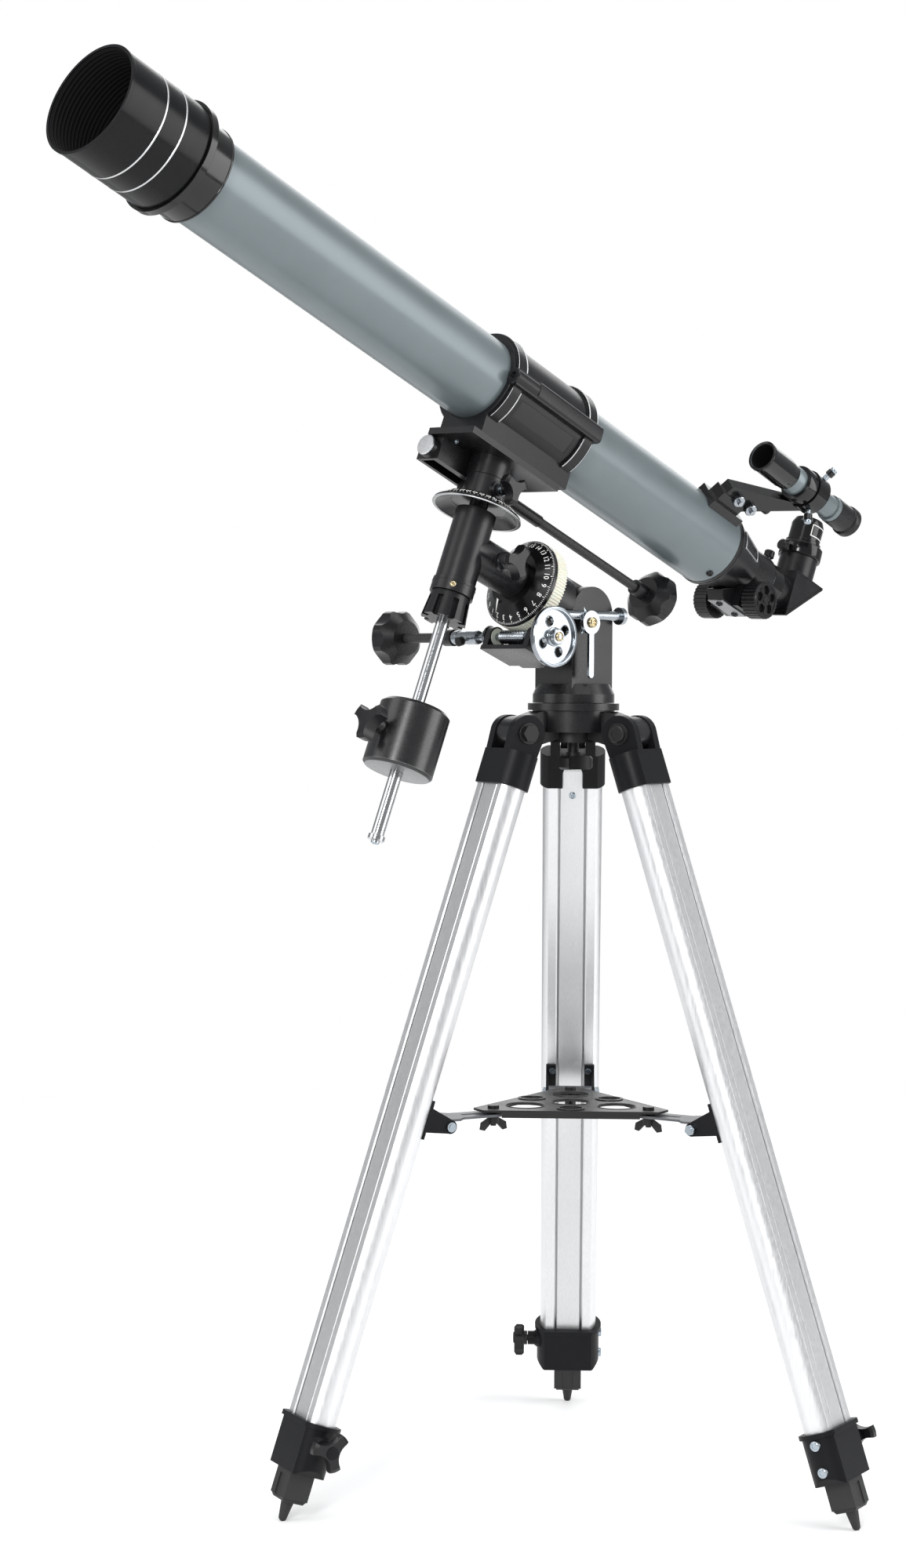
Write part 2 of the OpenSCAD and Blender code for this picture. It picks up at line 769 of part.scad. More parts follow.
module counterweight_shaft() {
    color("#d5d8dc") on_dec() {
        rod_z(shaft_r, shaft_end_z + 6, -44);
        rod_z(shaft_r + 1.6, shaft_end_z + 2, shaft_end_z + 6);
        rod_z(3.5, shaft_end_z, shaft_end_z + 2);
    }
}

module counterweight() {
    half_h = counterweight_h / 2;
    color("#0e0e10") on_dec() translate([0, 0, -counterweight_reach]) difference() {
        rotate_extrude()
            polygon([[shaft_r + run, -half_h], [counterweight_r - 2, -half_h],
                [counterweight_r, 2 - half_h], [counterweight_r, half_h - 3],
                [counterweight_r - 3, half_h], [shaft_r + run, half_h]]);
        rod_x(3 + run, 0, counterweight_r + 5);
    }
}

module counterweight_knob() {
    color("#131315") on_dec() translate([0, 0, -counterweight_reach]) {
        rod_x(3, shaft_r + 1, counterweight_r + 4);
        rod_x(6, counterweight_r + gap, counterweight_r + 6);
        translate([counterweight_r + 8, 0, 0]) rotate([0, 90, 0]) clamp_knob(17, 12);
    }
}

// ---- Cradle ----

// One half of the clamp shell round the tube: side is -1 below, 1 above
module cradle_half(side) {
    shell_r = 41;
    rib_r = 43.5;
    difference() {
        union() {
            rod_x(shell_r, cradle_rear_x, cradle_front_x);
            rod_x(rib_r, cradle_front_x - 14, cradle_front_x - 3);
            rod_x(rib_r, cradle_rear_x + 3, cradle_rear_x + 14);
            box([cradle_rear_x + 1, 36, side < 0 ? -7 : 0], [cradle_front_x - 1, 47, side < 0 ? 0 : 7]);
            box([cradle_rear_x + 1, -43, side < 0 ? -6 : 0], [cradle_front_x - 1, -36, side < 0 ? 0 : 6]);
        }
        rod_x(tube_r + 0.3, cradle_rear_x - 1, cradle_front_x + 1);
        box([cradle_rear_x - 1, -60, side < 0 ? -gap / 2 : -60],
            [cradle_front_x + 1, 60, side < 0 ? 60 : gap / 2]);
        hinge_clearance(side);
    }
}

knuckle_len = 22;
hinge_y = -46;
knuckle_r = 4;

// Room round the other half's knuckles
module hinge_clearance(side) {
    translate([0, hinge_y, 0])
        for (i = [0:4])
            if ((i % 2 == 0) == (side > 0))
                rod_x(knuckle_r + gap, cradle_rear_x + 2 + i * knuckle_len - gap,
                    cradle_rear_x + 2 + (i + 1) * knuckle_len + gap);
}

module hinge_knuckles(side) {
    translate([0, hinge_y, 0])
        for (i = [0:4])
            if ((i % 2 == 0) == (side < 0)) {
                rod_x(knuckle_r, cradle_rear_x + 2 + i * knuckle_len + gap / 2,
                    cradle_rear_x + 2 + (i + 1) * knuckle_len - gap / 2);
                box([cradle_rear_x + 2 + i * knuckle_len + gap / 2, 0, side < 0 ? -4 : gap / 2],
                    [cradle_rear_x + 2 + (i + 1) * knuckle_len - gap / 2, 6, side < 0 ? -gap / 2 : 4]);
            }
}

module cradle_lower() {
    color("#1a1a1c") on_tube() {
        difference() {
            union() {
                cradle_half(-1);
                difference() {
                    box([cradle_rear_x, -25, saddle_top_z - tube_height],
                        [cradle_front_x, 25, -32]);
                    rod_x(tube_r + 0.3, cradle_rear_x - 1, cradle_front_x + 1);
                }
            }
            box([cradle_rear_x + 22, 28, -26], [cradle_front_x - 22, 50, -12]);
        }
        hinge_knuckles(-1);
    }
}

module cradle_upper() {
    color("#1a1a1c") on_tube() {
        cradle_half(1);
        hinge_knuckles(1);
    }
}

// ---- Telescope ----

module main_tube() {
    color("#6d7d80") on_tube() difference() {
        rod_x(tube_r, tube_rear_x, tube_front_x);
        rod_x(tube_r - tube_wall, tube_rear_x - 1, tube_front_x + 1);
    }
}

// The black cell that holds the objective at the front of the tube
module lens_cell() {
    collar_r = 40;
    color("#101012") on_tube() difference() {
        union() {
            rod_x(collar_r, shield_rear_x - 30, shield_rear_x - 6);
            rod_x(shield_r + 2.5, shield_rear_x - 6, shield_rear_x);
            rod_x(shield_r - shield_wall, shield_rear_x, shield_rear_x + 8);
        }
        rod_x(tube_r + snug, shield_rear_x - 31, tube_front_x);
        rod_x(35 + snug, tube_front_x - 1, shield_rear_x - 4);
        rod_x(33, shield_rear_x - 5, shield_rear_x + 9);
    }
}

module dew_shield() {
    color("#09090a") on_tube() difference() {
        union() {
            rod_x(shield_r, shield_rear_x + gap, mouth_x);
            rod_x(shield_r + 0.6, mouth_x - 2.5, mouth_x);
        }
        rod_x(shield_r - shield_wall - 0.2, shield_rear_x - 1, mouth_x + 1);
        rod_x(shield_r - shield_wall + 0.3, shield_rear_x - 1, shield_rear_x + 9);
    }
}

// A doublet, drawn as one lens with two convex faces
module objective_lens() {
    lens_r = 35;
    face_r = 160;
    middle_x = shield_rear_x - 9.5;
    edge_half_t = 2;
    steps = 8;
    edge_sag = face_r - sqrt(face_r * face_r - lens_r * lens_r);
    // Height of the face above the lens's middle plane, at radius r
    function face_at(r) = edge_half_t + edge_sag - face_r + sqrt(face_r * face_r - r * r);
    color("#a9c4d6") on_tube() translate([middle_x, 0, 0]) rotate([0, 90, 0]) rotate_extrude()
        polygon(concat([for (i = [0:steps]) [i * lens_r / steps, -face_at(i * lens_r / steps)]],
            [for (i = [steps:-1:0]) [i * lens_r / steps, face_at(i * lens_r / steps)]]));
}

// The tapered casting behind the tube, with the pinion's box underneath
module focuser_body() {
    nose_x = tube_rear_x - 50;
    end_x = tube_rear_x - 77;
    color("#1b1b1d") on_tube() difference() {
        union() {
            rod_x(tube_r - tube_wall - snug, tube_rear_x, tube_rear_x + 16);
            rod_x(tube_r + 0.3, tube_rear_x - 5, tube_rear_x);
            cone_x(23.5, tube_r, nose_x, tube_rear_x - 5);
            rod_x(23.5, end_x, nose_x);
            box([pinion_x - 13, -16, -41], [pinion_x + 13, 16, -10]);
        }
        rod_x(18 + run, end_x - 1, tube_rear_x + 20);
        cone_x(18, 32, tube_rear_x - 30, tube_rear_x + 17);
        box([end_x - 1, -4.4, -22.5], [tube_rear_x + 20, 4.4, -10]);
        box([pinion_x - 8.5, -4.4, -38.5], [pinion_x + 8.5, 4.4, -18]);
        translate([pinion_x, 0, -pinion_drop]) rod_y(3 + run, -20, 20);
    }
}

// The sliding tube, its toothed rack and its clamping collar
module drawtube() {
    collar_front_x = tube_rear_x - 79.5;
    collar_rear_x = tube_rear_x - 95;
    rack_front_x = tube_rear_x + 40;
    tooth_pitch = 3;
    rack_teeth = 38;
    color("#c7cbd0") on_tube() difference() {
        union() {
            rod_x(18, collar_rear_x + 2, tube_rear_x + 62);
            rod_x(21.5, collar_rear_x, collar_front_x);
            box([rack_front_x - rack_teeth * tooth_pitch - 1, -4, -22], [rack_front_x, 4, -15]);
            translate([(collar_front_x + collar_rear_x) / 2, 0, 0]) rod_z(2, 20, 27);
            translate([(collar_front_x + collar_rear_x) / 2, 0, 0]) rod_z(4.5, 27, 33);
        }
        rod_x(barrel_r + run, collar_rear_x - 1, tube_rear_x + 70);
        for (i = [1:rack_teeth - 1])
            box([rack_front_x - i * tooth_pitch - 0.8, -5, -23],
                [rack_front_x - i * tooth_pitch + 0.8, 5, -20.6]);
    }
}

// Two spoked knobs on the pinion's shaft
module focus_knobs() {
    knob_r = 17.5;
    pinion_teeth = 15;
    color("#151517") on_tube() translate([pinion_x, 0, -pinion_drop]) {
        rod_y(3, -35, 35);
        rotate([90, 0, 0]) translate([0, 0, -3.9]) linear_extrude(7.8)
            bitten_disc(7.6, pinion_teeth, 0.8, 0.9);
        for (side = [-1, 1])
            rotate([side > 0 ? -90 : 90, 0, 0]) difference() {
                translate([0, 0, 21]) linear_extrude(15) bitten_disc(knob_r, 30, 1, 0.6);
                for (i = [0:4])
                    rotate([0, 0, i * 72]) translate([9.5, 0, 33]) cylinder(r = 4.2, h = 6);
            }
    }
}

// The prism housing that turns the view upwards, with its nose and eyepiece socket
module diagonal() {
    nose_front_x = tube_rear_x - 70;
    face_x = tube_rear_x - 108;
    half_w = 21.5;
    half_leg = 23;
    socket_r = 18.5;
    socket_top = 57;
    color("#151517") on_tube() difference() {
        union() {
            rod_x(barrel_r, face_x, nose_front_x);
            rod_x(19, face_x, tube_rear_x - 95 - gap);
            plate_xz(-half_w, half_w)
                polygon([[face_x, -half_leg], [face_x, half_leg],
                    [face_x - 2 * half_leg + 2, half_leg], [face_x - 2 * half_leg + 2, half_leg - 2],
                    [face_x - 2, -half_leg]]);
            translate([eyepiece_x, 0, 0]) rod_z(socket_r, half_leg, socket_top);
            translate([eyepiece_x, 0, 47]) rod_x(2, socket_r - 1, socket_r + 6);
            translate([eyepiece_x, 0, 47]) rod_x(4.5, socket_r + 6, socket_r + 12);
        }
        translate([eyepiece_x, 0, 0]) rod_z(barrel_r + run, 24, socket_top + 1);
        rod_x(12, face_x - 4, nose_front_x + 1);
    }
}

module eyepiece() {
    socket_top = 57;
    top = 84;
    color("#121214") on_tube() translate([eyepiece_x, 0, 0]) difference() {
        union() {
            rod_z(barrel_r, 34, socket_top + gap);
            rod_z(17.3, socket_top + gap, 61);
            rod_z(15.8, 61, top - 5);
            translate([0, 0, top - 5]) cylinder(r1 = 15.8, r2 = 13.4, h = 5);
        }
        rod_z(13, 30, 50);
        rod_z(7, top - 2, top + 1);
    }
}

// The saddle foot, the leaning arm and the ring that holds the finder
module finder_bracket() {
    foot_front_x = mouth_x - 741;
    foot_rear_x = mouth_x - 786;
    ring_half = 8;
    color("#17171a") on_finder() {
        difference() {
            union() {
                box([foot_rear_x, -13, 30], [foot_front_x, 13, 42]);
                box([foot_rear_x + 6, -8, 42], [foot_front_x - 6, 8, 52]);
                plate_xz(-6.5, 6.5)
                    polygon([[foot_front_x - 10, 50], [foot_rear_x + 8, 44],
                        [finder_ring_x - 6, finder_h - 16], [finder_ring_x + 8, finder_h - 14],
                        [foot_front_x - 10, 60]]);
                translate([0, 0, finder_h]) rod_x(18.5, finder_ring_x - ring_half,
                    finder_ring_x + ring_half);
            }
            rod_x(tube_r + snug, foot_rear_x - 1, foot_front_x + 1);
            translate([0, 0, finder_h]) rod_x(15, finder_ring_x - ring_half - 1,
                finder_ring_x + ring_half + 1);
        }
        for (i = [0:2])
            translate([finder_ring_x, 0, finder_h]) rotate([i * 120, 0, 0]) {
                rod_z(2, 10.9, 24);
                rod_z(4, 24, 29);
            }
    }
}

module finder_scope() {
    front_x = mouth_x - 752;
    hood_rear_x = mouth_x - 786;
    eye_front_x = mouth_x - 862;
    rear_x = mouth_x - 897;
    color("#6d7d80") on_finder() translate([0, 0, finder_h]) difference() {
        union() {
            rod_x(13.85, hood_rear_x, front_x);
            rod_x(10.8, eye_front_x, hood_rear_x);
            rod_x(12.4, rear_x + 8, eye_front_x);
            rod_x(13.6, rear_x, rear_x + 8);
        }
        rod_x(12.2, front_x - 26, front_x + 1);
        rod_x(6, rear_x - 1, rear_x + 3);
    }
}

// ---- The three legs' own parts ----

module rear_leg_rails() leg_rails(REAR);
module rear_leg_brackets() leg_brackets(REAR);
module rear_leg_collar() leg_collar(REAR);
module rear_leg_slider() leg_slider(REAR);
module rear_leg_foot() leg_foot(REAR);
module rear_leg_knob() leg_knob(REAR);
module rear_leg_screws() leg_screws(REAR);
module rear_tray_arm() tray_arm(REAR);
module left_leg_rails() leg_rails(LEFT);
module left_leg_brackets() leg_brackets(LEFT);
module left_leg_collar() leg_collar(LEFT);
module left_leg_slider() leg_slider(LEFT);
module left_leg_foot() leg_foot(LEFT);
module left_leg_knob() leg_knob(LEFT);
module left_leg_screws() leg_screws(LEFT);
module left_tray_arm() tray_arm(LEFT);
module right_leg_rails() leg_rails(RIGHT);
module right_leg_brackets() leg_brackets(RIGHT);
module right_leg_collar() leg_collar(RIGHT);
module right_leg_slider() leg_slider(RIGHT);
module right_leg_foot() leg_foot(RIGHT);
module right_leg_knob() leg_knob(RIGHT);
module right_leg_screws() leg_screws(RIGHT);
module right_tray_arm() tray_arm(RIGHT);

tripod_hub();
hub_bolts();
rear_leg_rails();
rear_leg_brackets();
rear_leg_collar();
rear_leg_slider();
rear_leg_foot();
rear_leg_knob();
rear_leg_screws();
rear_tray_arm();
left_leg_rails();
left_leg_brackets();
left_leg_collar();
left_leg_slider();
left_leg_foot();
left_leg_knob();
left_leg_screws();
left_tray_arm();
right_leg_rails();
right_leg_brackets();
right_leg_collar();
right_leg_slider();
right_leg_foot();
right_leg_knob();
right_leg_screws();
right_tray_arm();
tray_plate();
tray_bolts();
mount_base();
latitude_lever();
latitude_screw();
polar_head();
worm_shaft();
ra_slow_knob();
worm_wheel();
ra_circle();
ra_housing();
ra_clutch_knob();
dec_neck();
dec_circle();
dec_clutch_knob();
saddle_head();
dec_slow_knob();
shaft_nut();
counterweight_shaft();
counterweight();
counterweight_knob();
cradle_lower();
cradle_upper();
main_tube();
lens_cell();
dew_shield();
objective_lens();
focuser_body();
drawtube();
focus_knobs();
diagonal();
eyepiece();
finder_bracket();
finder_scope();
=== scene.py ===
import json
import math

import bmesh
import bpy
from mathutils import Matrix, Vector


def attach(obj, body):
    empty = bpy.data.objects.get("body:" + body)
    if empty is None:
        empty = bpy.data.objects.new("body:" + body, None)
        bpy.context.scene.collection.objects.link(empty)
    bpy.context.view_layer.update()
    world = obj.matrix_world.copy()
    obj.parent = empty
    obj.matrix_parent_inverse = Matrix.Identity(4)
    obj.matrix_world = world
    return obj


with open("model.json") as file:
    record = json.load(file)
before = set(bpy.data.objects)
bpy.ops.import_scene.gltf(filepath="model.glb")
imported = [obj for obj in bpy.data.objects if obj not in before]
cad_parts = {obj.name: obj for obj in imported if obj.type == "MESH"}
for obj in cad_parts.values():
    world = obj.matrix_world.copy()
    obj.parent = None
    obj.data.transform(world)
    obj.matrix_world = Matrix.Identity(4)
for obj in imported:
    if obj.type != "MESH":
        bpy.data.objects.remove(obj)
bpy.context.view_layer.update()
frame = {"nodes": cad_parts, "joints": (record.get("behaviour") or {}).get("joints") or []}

MM = 0.001
NODES = frame["nodes"]
JOINTS = {j["name"]: j for j in frame["joints"]}
LEGS = ("rear", "left", "right")


# ---- Frames of reference: origin in metres, lengths along the axes in millimetres ----

def axes(origin, x, z):
    """A right-handed frame with Z along z and X as near to x as that allows."""
    z = Vector(z).normalized()
    y = z.cross(Vector(x)).normalized()
    x = y.cross(z)
    place = Matrix((x, y, z)).transposed().to_4x4()
    place.translation = Vector(origin)
    return place @ Matrix.Scale(MM, 4)


def joint_place(name):
    return Vector(JOINTS[name]["pos_m"])


def joint_axis(name):
    return Vector(JOINTS[name]["axis"])


polar_axis = joint_axis("ra_turn")
dec_axis = joint_axis("dec_turn")
sky_axis = joint_axis("tube_slide")
crossing = joint_place("ra_turn")
TRIPOD = joint_place("azimuth_turn")
TRIPOD.z = 0

POLAR = axes(crossing, -dec_axis, polar_axis)
DEC = axes(crossing, polar_axis, dec_axis)
SADDLE = axes(crossing, sky_axis, dec_axis)
TUBE = axes(joint_place("cradle_open") + dec_axis.cross(sky_axis) * 46 * MM, sky_axis, dec_axis)
FINDER = TUBE @ Matrix.Rotation(math.radians(-45), 4, "X")
MOUNT = axes(TRIPOD, (polar_axis.x, polar_axis.y, 0), (0, 0, 1))
UPRIGHT = axes(TRIPOD, (1, 0, 0), (0, 0, 1))
LEG = {}
OUTWARD = {}
for leg in LEGS:
    hinge = joint_place(leg + "_leg_fold")
    out = hinge - TRIPOD
    out.z = 0
    LEG[leg] = axes(hinge, out, -joint_axis(leg + "_leg_extend"))
    OUTWARD[leg] = axes(TRIPOD, out, (0, 0, 1))

ALONG_X = Matrix.Rotation(math.radians(90), 4, "Y")
ALONG_Y = Matrix.Rotation(math.radians(-90), 4, "X")
DOWNWARDS = Matrix.Rotation(math.pi, 4, "X")
# A shape drawn in Y and Z with its thickness along X, and one drawn in X and Z with its thickness along Y
YZ_ALONG_X = Matrix(((0, 0, 1, 0), (1, 0, 0, 0), (0, 1, 0, 0), (0, 0, 0, 1)))
XZ_ALONG_Y = Matrix(((1, 0, 0, 0), (0, 0, 1, 0), (0, 1, 0, 0), (0, 0, 0, 1)))


def at(x, y, z, turn=Matrix.Identity(4)):
    """A place in a local frame, with Z turned as turn says."""
    return Matrix.Translation((x, y, z)) @ turn


def towards(point, direction):
    """A place whose Z points along direction."""
    turn = Vector(direction).normalized().to_track_quat("Z", "Y").to_matrix().to_4x4()
    return Matrix.Translation(point) @ turn


# ---- Mesh building ----

class Shape:
    """Closed forms gathered in millimetres in one local frame."""

    def __init__(self):
        self.bm = bmesh.new()

    def lathe(self, profile, place=Matrix.Identity(4), steps=48, start=0.0, sweep=360.0):
        """Turns a list of (radius, height) round Z. The profile is closed unless it starts and ends on the axis."""
        full = sweep >= 360
        count = steps if full else steps + 1
        rings = []
        for r, z in profile:
            if r < 1e-6:
                rings.append([self.bm.verts.new(place @ Vector((0, 0, z)))])
                continue
            ring = []
            for i in range(count):
                turn = math.radians(start + sweep * i / steps)
                ring.append(self.bm.verts.new(place @ Vector((r * math.cos(turn), r * math.sin(turn), z))))
            rings.append(ring)
        on_axis = len(rings[0]) == 1 and len(rings[-1]) == 1
        pairs = list(zip(rings, rings[1:])) + ([] if on_axis else [(rings[-1], rings[0])])
        for low, high in pairs:
            for i in range(steps):
                j = (i + 1) % count if full else i + 1
                corners = [low[i % len(low)], low[j % len(low)], high[j % len(high)], high[i % len(high)]]
                corners = list(dict.fromkeys(corners))
                if len(corners) > 2:
                    self.bm.faces.new(corners)
        if not full:
            for i in (0, -1):
                self.bm.faces.new([ring[i] for ring in rings])
        return self

    def prism(self, outline, low, high, place=Matrix.Identity(4)):
        """A flat outline given thickness from low to high."""
        under = [self.bm.verts.new(place @ Vector((x, y, low))) for x, y in outline]
        over = [self.bm.verts.new(place @ Vector((x, y, high))) for x, y in outline]
        self.bm.faces.new(under[::-1])
        self.bm.faces.new(over)
        for i in range(len(outline)):
            j = (i + 1) % len(outline)
            self.bm.faces.new([under[i], under[j], over[j], over[i]])
        return self

    def box(self, low, high, place=Matrix.Identity(4)):
        outline = [(low[0], low[1]), (high[0], low[1]), (high[0], high[1]), (low[0], high[1])]
        return self.prism(outline, low[2], high[2], place)

    def band(self, inner, outer, low, high, place=Matrix.Identity(4), **turn):
        """A plain ring with softened outer corners."""
        soft = min(0.25, (high - low) / 3, (outer - inner) / 2)
        return self.lathe([(inner, low), (outer - soft, low), (outer, low + soft),
                           (outer, high - soft), (outer - soft, high), (inner, high)], place, **turn)

    def wire(self, radius, thickness, place, steps=64, start=0.0, sweep=360.0):
        """A round wire bent on a circle."""
        sides = 8
        profile = [(radius + thickness * math.cos(2 * math.pi * i / sides),
                    thickness * math.sin(2 * math.pi * i / sides)) for i in range(sides)]
        return self.lathe(profile, place, steps=steps, start=start, sweep=sweep)

    def screw(self, radius, height, place, recess="cross"):
        """A domed screw head with a cross or slot recess in its face."""
        dome = [(0, -0.3), (radius, -0.3), (radius, height * 0.45), (radius * 0.86, height * 0.8),
                (radius * 0.6, height)]
        floor = height * 0.45
        self.lathe(dome + [(radius * 0.52, height), (radius * 0.4, floor), (0, floor)], place, steps=24)
        reach = radius * 0.5
        if recess == "cross":
            for turn in (0, 90):
                self.box((-reach, -radius * 0.13, floor), (reach, radius * 0.13, height * 0.72),
                         place @ Matrix.Rotation(math.radians(turn), 4, "Z"))
        elif recess == "slot":
            for side in (-1, 1):
                low, high = sorted((side * radius * 0.12, side * radius * 0.5))
                self.box((-reach, low, floor), (reach, high, height), place)
        return self

    def mesh(self, other, place):
        """Adds another mesh's faces, moved to place."""
        verts = [self.bm.verts.new(place @ v.co) for v in other.vertices]
        for face in other.polygons:
            self.bm.faces.new([verts[i] for i in face.vertices])
        return self

    def piece(self, name, where, body, slot, material, bevel=0.0, smooth=35):
        """Makes the object, in metres, riding on its body."""
        bmesh.ops.transform(self.bm, matrix=where, verts=self.bm.verts)
        bmesh.ops.recalc_face_normals(self.bm, faces=self.bm.faces)
        data = bpy.data.meshes.new(name)
        self.bm.to_mesh(data)
        self.bm.free()
        data.polygons.foreach_set("use_smooth", [True] * len(data.polygons))
        data.set_sharp_from_angle(angle=math.radians(smooth))
        data.materials.append(material)
        made = bpy.data.objects.new(name, data)
        bpy.context.scene.collection.objects.link(made)
        if bevel:
            soft = made.modifiers.new("Soft edges", "BEVEL")
            soft.width = bevel * MM
            soft.segments = 2
            soft.limit_method = "ANGLE"
            soft.angle_limit = math.radians(40)
        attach(made, body)


glyphs = {}


def glyph(text):
    """The mesh of a number, 1 unit high, centred, lying in X and Y."""
    if text not in glyphs:
        curve = bpy.data.curves.new("number", "FONT")
        curve.body = text
        curve.size = 1.4
        curve.resolution_u = 3
        curve.align_x = "CENTER"
        curve.align_y = "CENTER"
        curve.extrude = 0.02
        holder = bpy.data.objects.new("number", curve)
        bpy.context.scene.collection.objects.link(holder)
        bpy.context.view_layer.update()
        glyphs[text] = bpy.data.meshes.new_from_object(holder)
        bpy.data.objects.remove(holder)
    return glyphs[text]


# ---- Materials ----

class Nodes:
    """A short way to write shader nodes."""

    def __init__(self, name):
        self.material = bpy.data.materials.new(name)
        self.material.use_nodes = True
        self.tree = self.material.node_tree
        self.tree.nodes.clear()
        self.output = self.tree.nodes.new("ShaderNodeOutputMaterial")
        self.shader = self.tree.nodes.new("ShaderNodeBsdfPrincipled")
        self.link(self.shader.outputs[0], self.output.inputs[0])
        self.place = self.tree.nodes.new("ShaderNodeTexCoord").outputs["Object"]

    def link(self, start, end):
        self.tree.links.new(start, end)

    def mapped(self, scale=(1, 1, 1), turn=(0, 0, 0)):
        node = self.tree.nodes.new("ShaderNodeMapping")
        node.inputs["Scale"].default_value = scale
        node.inputs["Rotation"].default_value = turn
        self.link(self.place, node.inputs["Vector"])
        return node.outputs[0]

    def noise(self, scale, detail=3.0, vector=None, rough=0.55):
        node = self.tree.nodes.new("ShaderNodeTexNoise")
        node.inputs["Scale"].default_value = scale
        node.inputs["Detail"].default_value = detail
        node.inputs["Roughness"].default_value = rough
        self.link(vector or self.place, node.inputs["Vector"])
        return node.outputs["Fac"]

    def spread(self, value, low, high, start=0.3, end=0.7):
        """Turns a noise value into one from low to high."""
        node = self.tree.nodes.new("ShaderNodeMapRange")
        node.inputs["From Min"].default_value = start
        node.inputs["From Max"].default_value = end
        node.inputs["To Min"].default_value = low
        node.inputs["To Max"].default_value = high
        self.link(value, node.inputs["Value"])
        return node.outputs["Result"]

    def mix(self, factor, first, second):
        node = self.tree.nodes.new("ShaderNodeMix")
        node.data_type = "RGBA"
        if isinstance(factor, float):
            node.inputs[0].default_value = factor
        else:
            self.link(factor, node.inputs[0])
        for socket, value in ((node.inputs[6], first), (node.inputs[7], second)):
            if isinstance(value, tuple):
                socket.default_value = (*value, 1)
            else:
                self.link(value, socket)
        return node.outputs[2]

    def add(self, first, second, how="ADD"):
        node = self.tree.nodes.new("ShaderNodeMath")
        node.operation = how
        for socket, value in zip(node.inputs, (first, second)):
            if isinstance(value, (int, float)):
                socket.default_value = value
            else:
                self.link(value, socket)
        return node.outputs[0]

    def rounded(self, radius):
        node = self.tree.nodes.new("ShaderNodeBevel")
        node.samples = 4
        node.inputs["Radius"].default_value = radius
        return node.outputs[0]

    def worn_edges(self, normal):
        """About 1 on a sharp edge and 0 on a face."""
        true = self.tree.nodes.new("ShaderNodeNewGeometry").outputs["Normal"]
        dot = self.tree.nodes.new("ShaderNodeVectorMath")
        dot.operation = "DOT_PRODUCT"
        self.link(normal, dot.inputs[0])
        self.link(true, dot.inputs[1])
        return self.spread(dot.outputs["Value"], 1.0, 0.0, start=0.85, end=0.995)

    def bump(self, height, strength, distance, normal=None):
        node = self.tree.nodes.new("ShaderNodeBump")
        node.inputs["Strength"].default_value = strength
        node.inputs["Distance"].default_value = distance
        self.link(height, node.inputs["Height"])
        if normal:
            self.link(normal, node.inputs["Normal"])
        return node.outputs[0]

    def finish(self, colour, rough, normal, metallic=0.0, specular=0.5, coat=0.0, coat_rough=0.1):
        self.link(colour, self.shader.inputs["Base Color"])
        self.link(rough, self.shader.inputs["Roughness"])
        self.link(normal, self.shader.inputs["Normal"])
        self.shader.inputs["Metallic"].default_value = metallic
        self.shader.inputs["Specular IOR Level"].default_value = specular
        self.shader.inputs["Coat Weight"].default_value = coat
        self.shader.inputs["Coat Roughness"].default_value = coat_rough
        return self.material


def scaled(colour, factor):
    return tuple(min(1.0, c * factor) for c in colour)


def surface(name, colour, rough, spread=0.08, metallic=0.0, grain=900.0, grain_depth=0.00002, edge=0.0004,
            edge_wear_and_highlight=None, vary=0.12, specular=0.5, coat=0.0, coat_rough=0.1):
    """A painted, moulded or cast surface: mottled colour, uneven gloss, fine grain, and edges lightened partly by
    rubbed wear and partly by a painted highlight.
    """
    n = Nodes(name)
    cloud = n.noise(22.0, 4.0)
    speck = n.noise(grain, 2.0)
    tone = n.mix(n.spread(cloud, 0.0, 1.0), scaled(colour, 1 - vary), scaled(colour, 1 + vary))
    shine = n.spread(n.add(n.add(cloud, 0.6, "MULTIPLY"), n.add(speck, 0.4, "MULTIPLY")),
                     rough - spread, rough + spread)
    edges = n.rounded(edge)
    if edge_wear_and_highlight:
        # Patchy lighter colour on the edges: partly rubbed wear, partly a painted edge highlight
        rub_and_highlight = n.add(n.worn_edges(edges), n.spread(n.noise(160.0, 3.0), 0.1, 0.8), "MULTIPLY")
        tone = n.mix(rub_and_highlight, tone, edge_wear_and_highlight)
    return n.finish(tone, shine, n.bump(speck, 0.5, grain_depth, edges), metallic, specular, coat, coat_rough)


def brushed(name, colour, rough, turn=(0, 0, 0), scale=(900, 900, 9), metallic=1.0, spread=0.07, depth=0.00001,
            dust=0.06, edge=0.0003):
    """Metal with fine lines along its local Z."""
    n = Nodes(name)
    lines = n.noise(1.0, 3.0, n.mapped(scale, turn), 0.6)
    cloud = n.noise(9.0, 3.0)
    tone = n.mix(n.spread(lines, 0.0, 1.0), scaled(colour, 1 - dust), scaled(colour, 1 + dust))
    tone = n.mix(n.spread(cloud, 0.0, 0.35), tone, scaled(colour, 0.86))
    shine = n.spread(lines, rough - spread, rough + spread)
    return n.finish(tone, shine, n.bump(lines, 0.35, depth, n.rounded(edge)), metallic)


def plated(name, colour, rough, stain, grain=260.0):
    """Bright plate with faint clouds and small scuffs."""
    n = Nodes(name)
    cloud = n.noise(60.0, 4.0)
    scuff = n.noise(1.0, 2.0, n.mapped((grain, grain * 5, grain)), 0.7)
    tone = n.mix(n.spread(cloud, 0.0, 0.6), colour, stain)
    shine = n.add(n.spread(cloud, rough * 0.6, rough * 1.3), n.spread(scuff, 0.0, 0.08, 0.5, 0.75))
    return n.finish(tone, shine, n.bump(scuff, 0.15, 0.00001, n.rounded(0.0003)), 1.0)
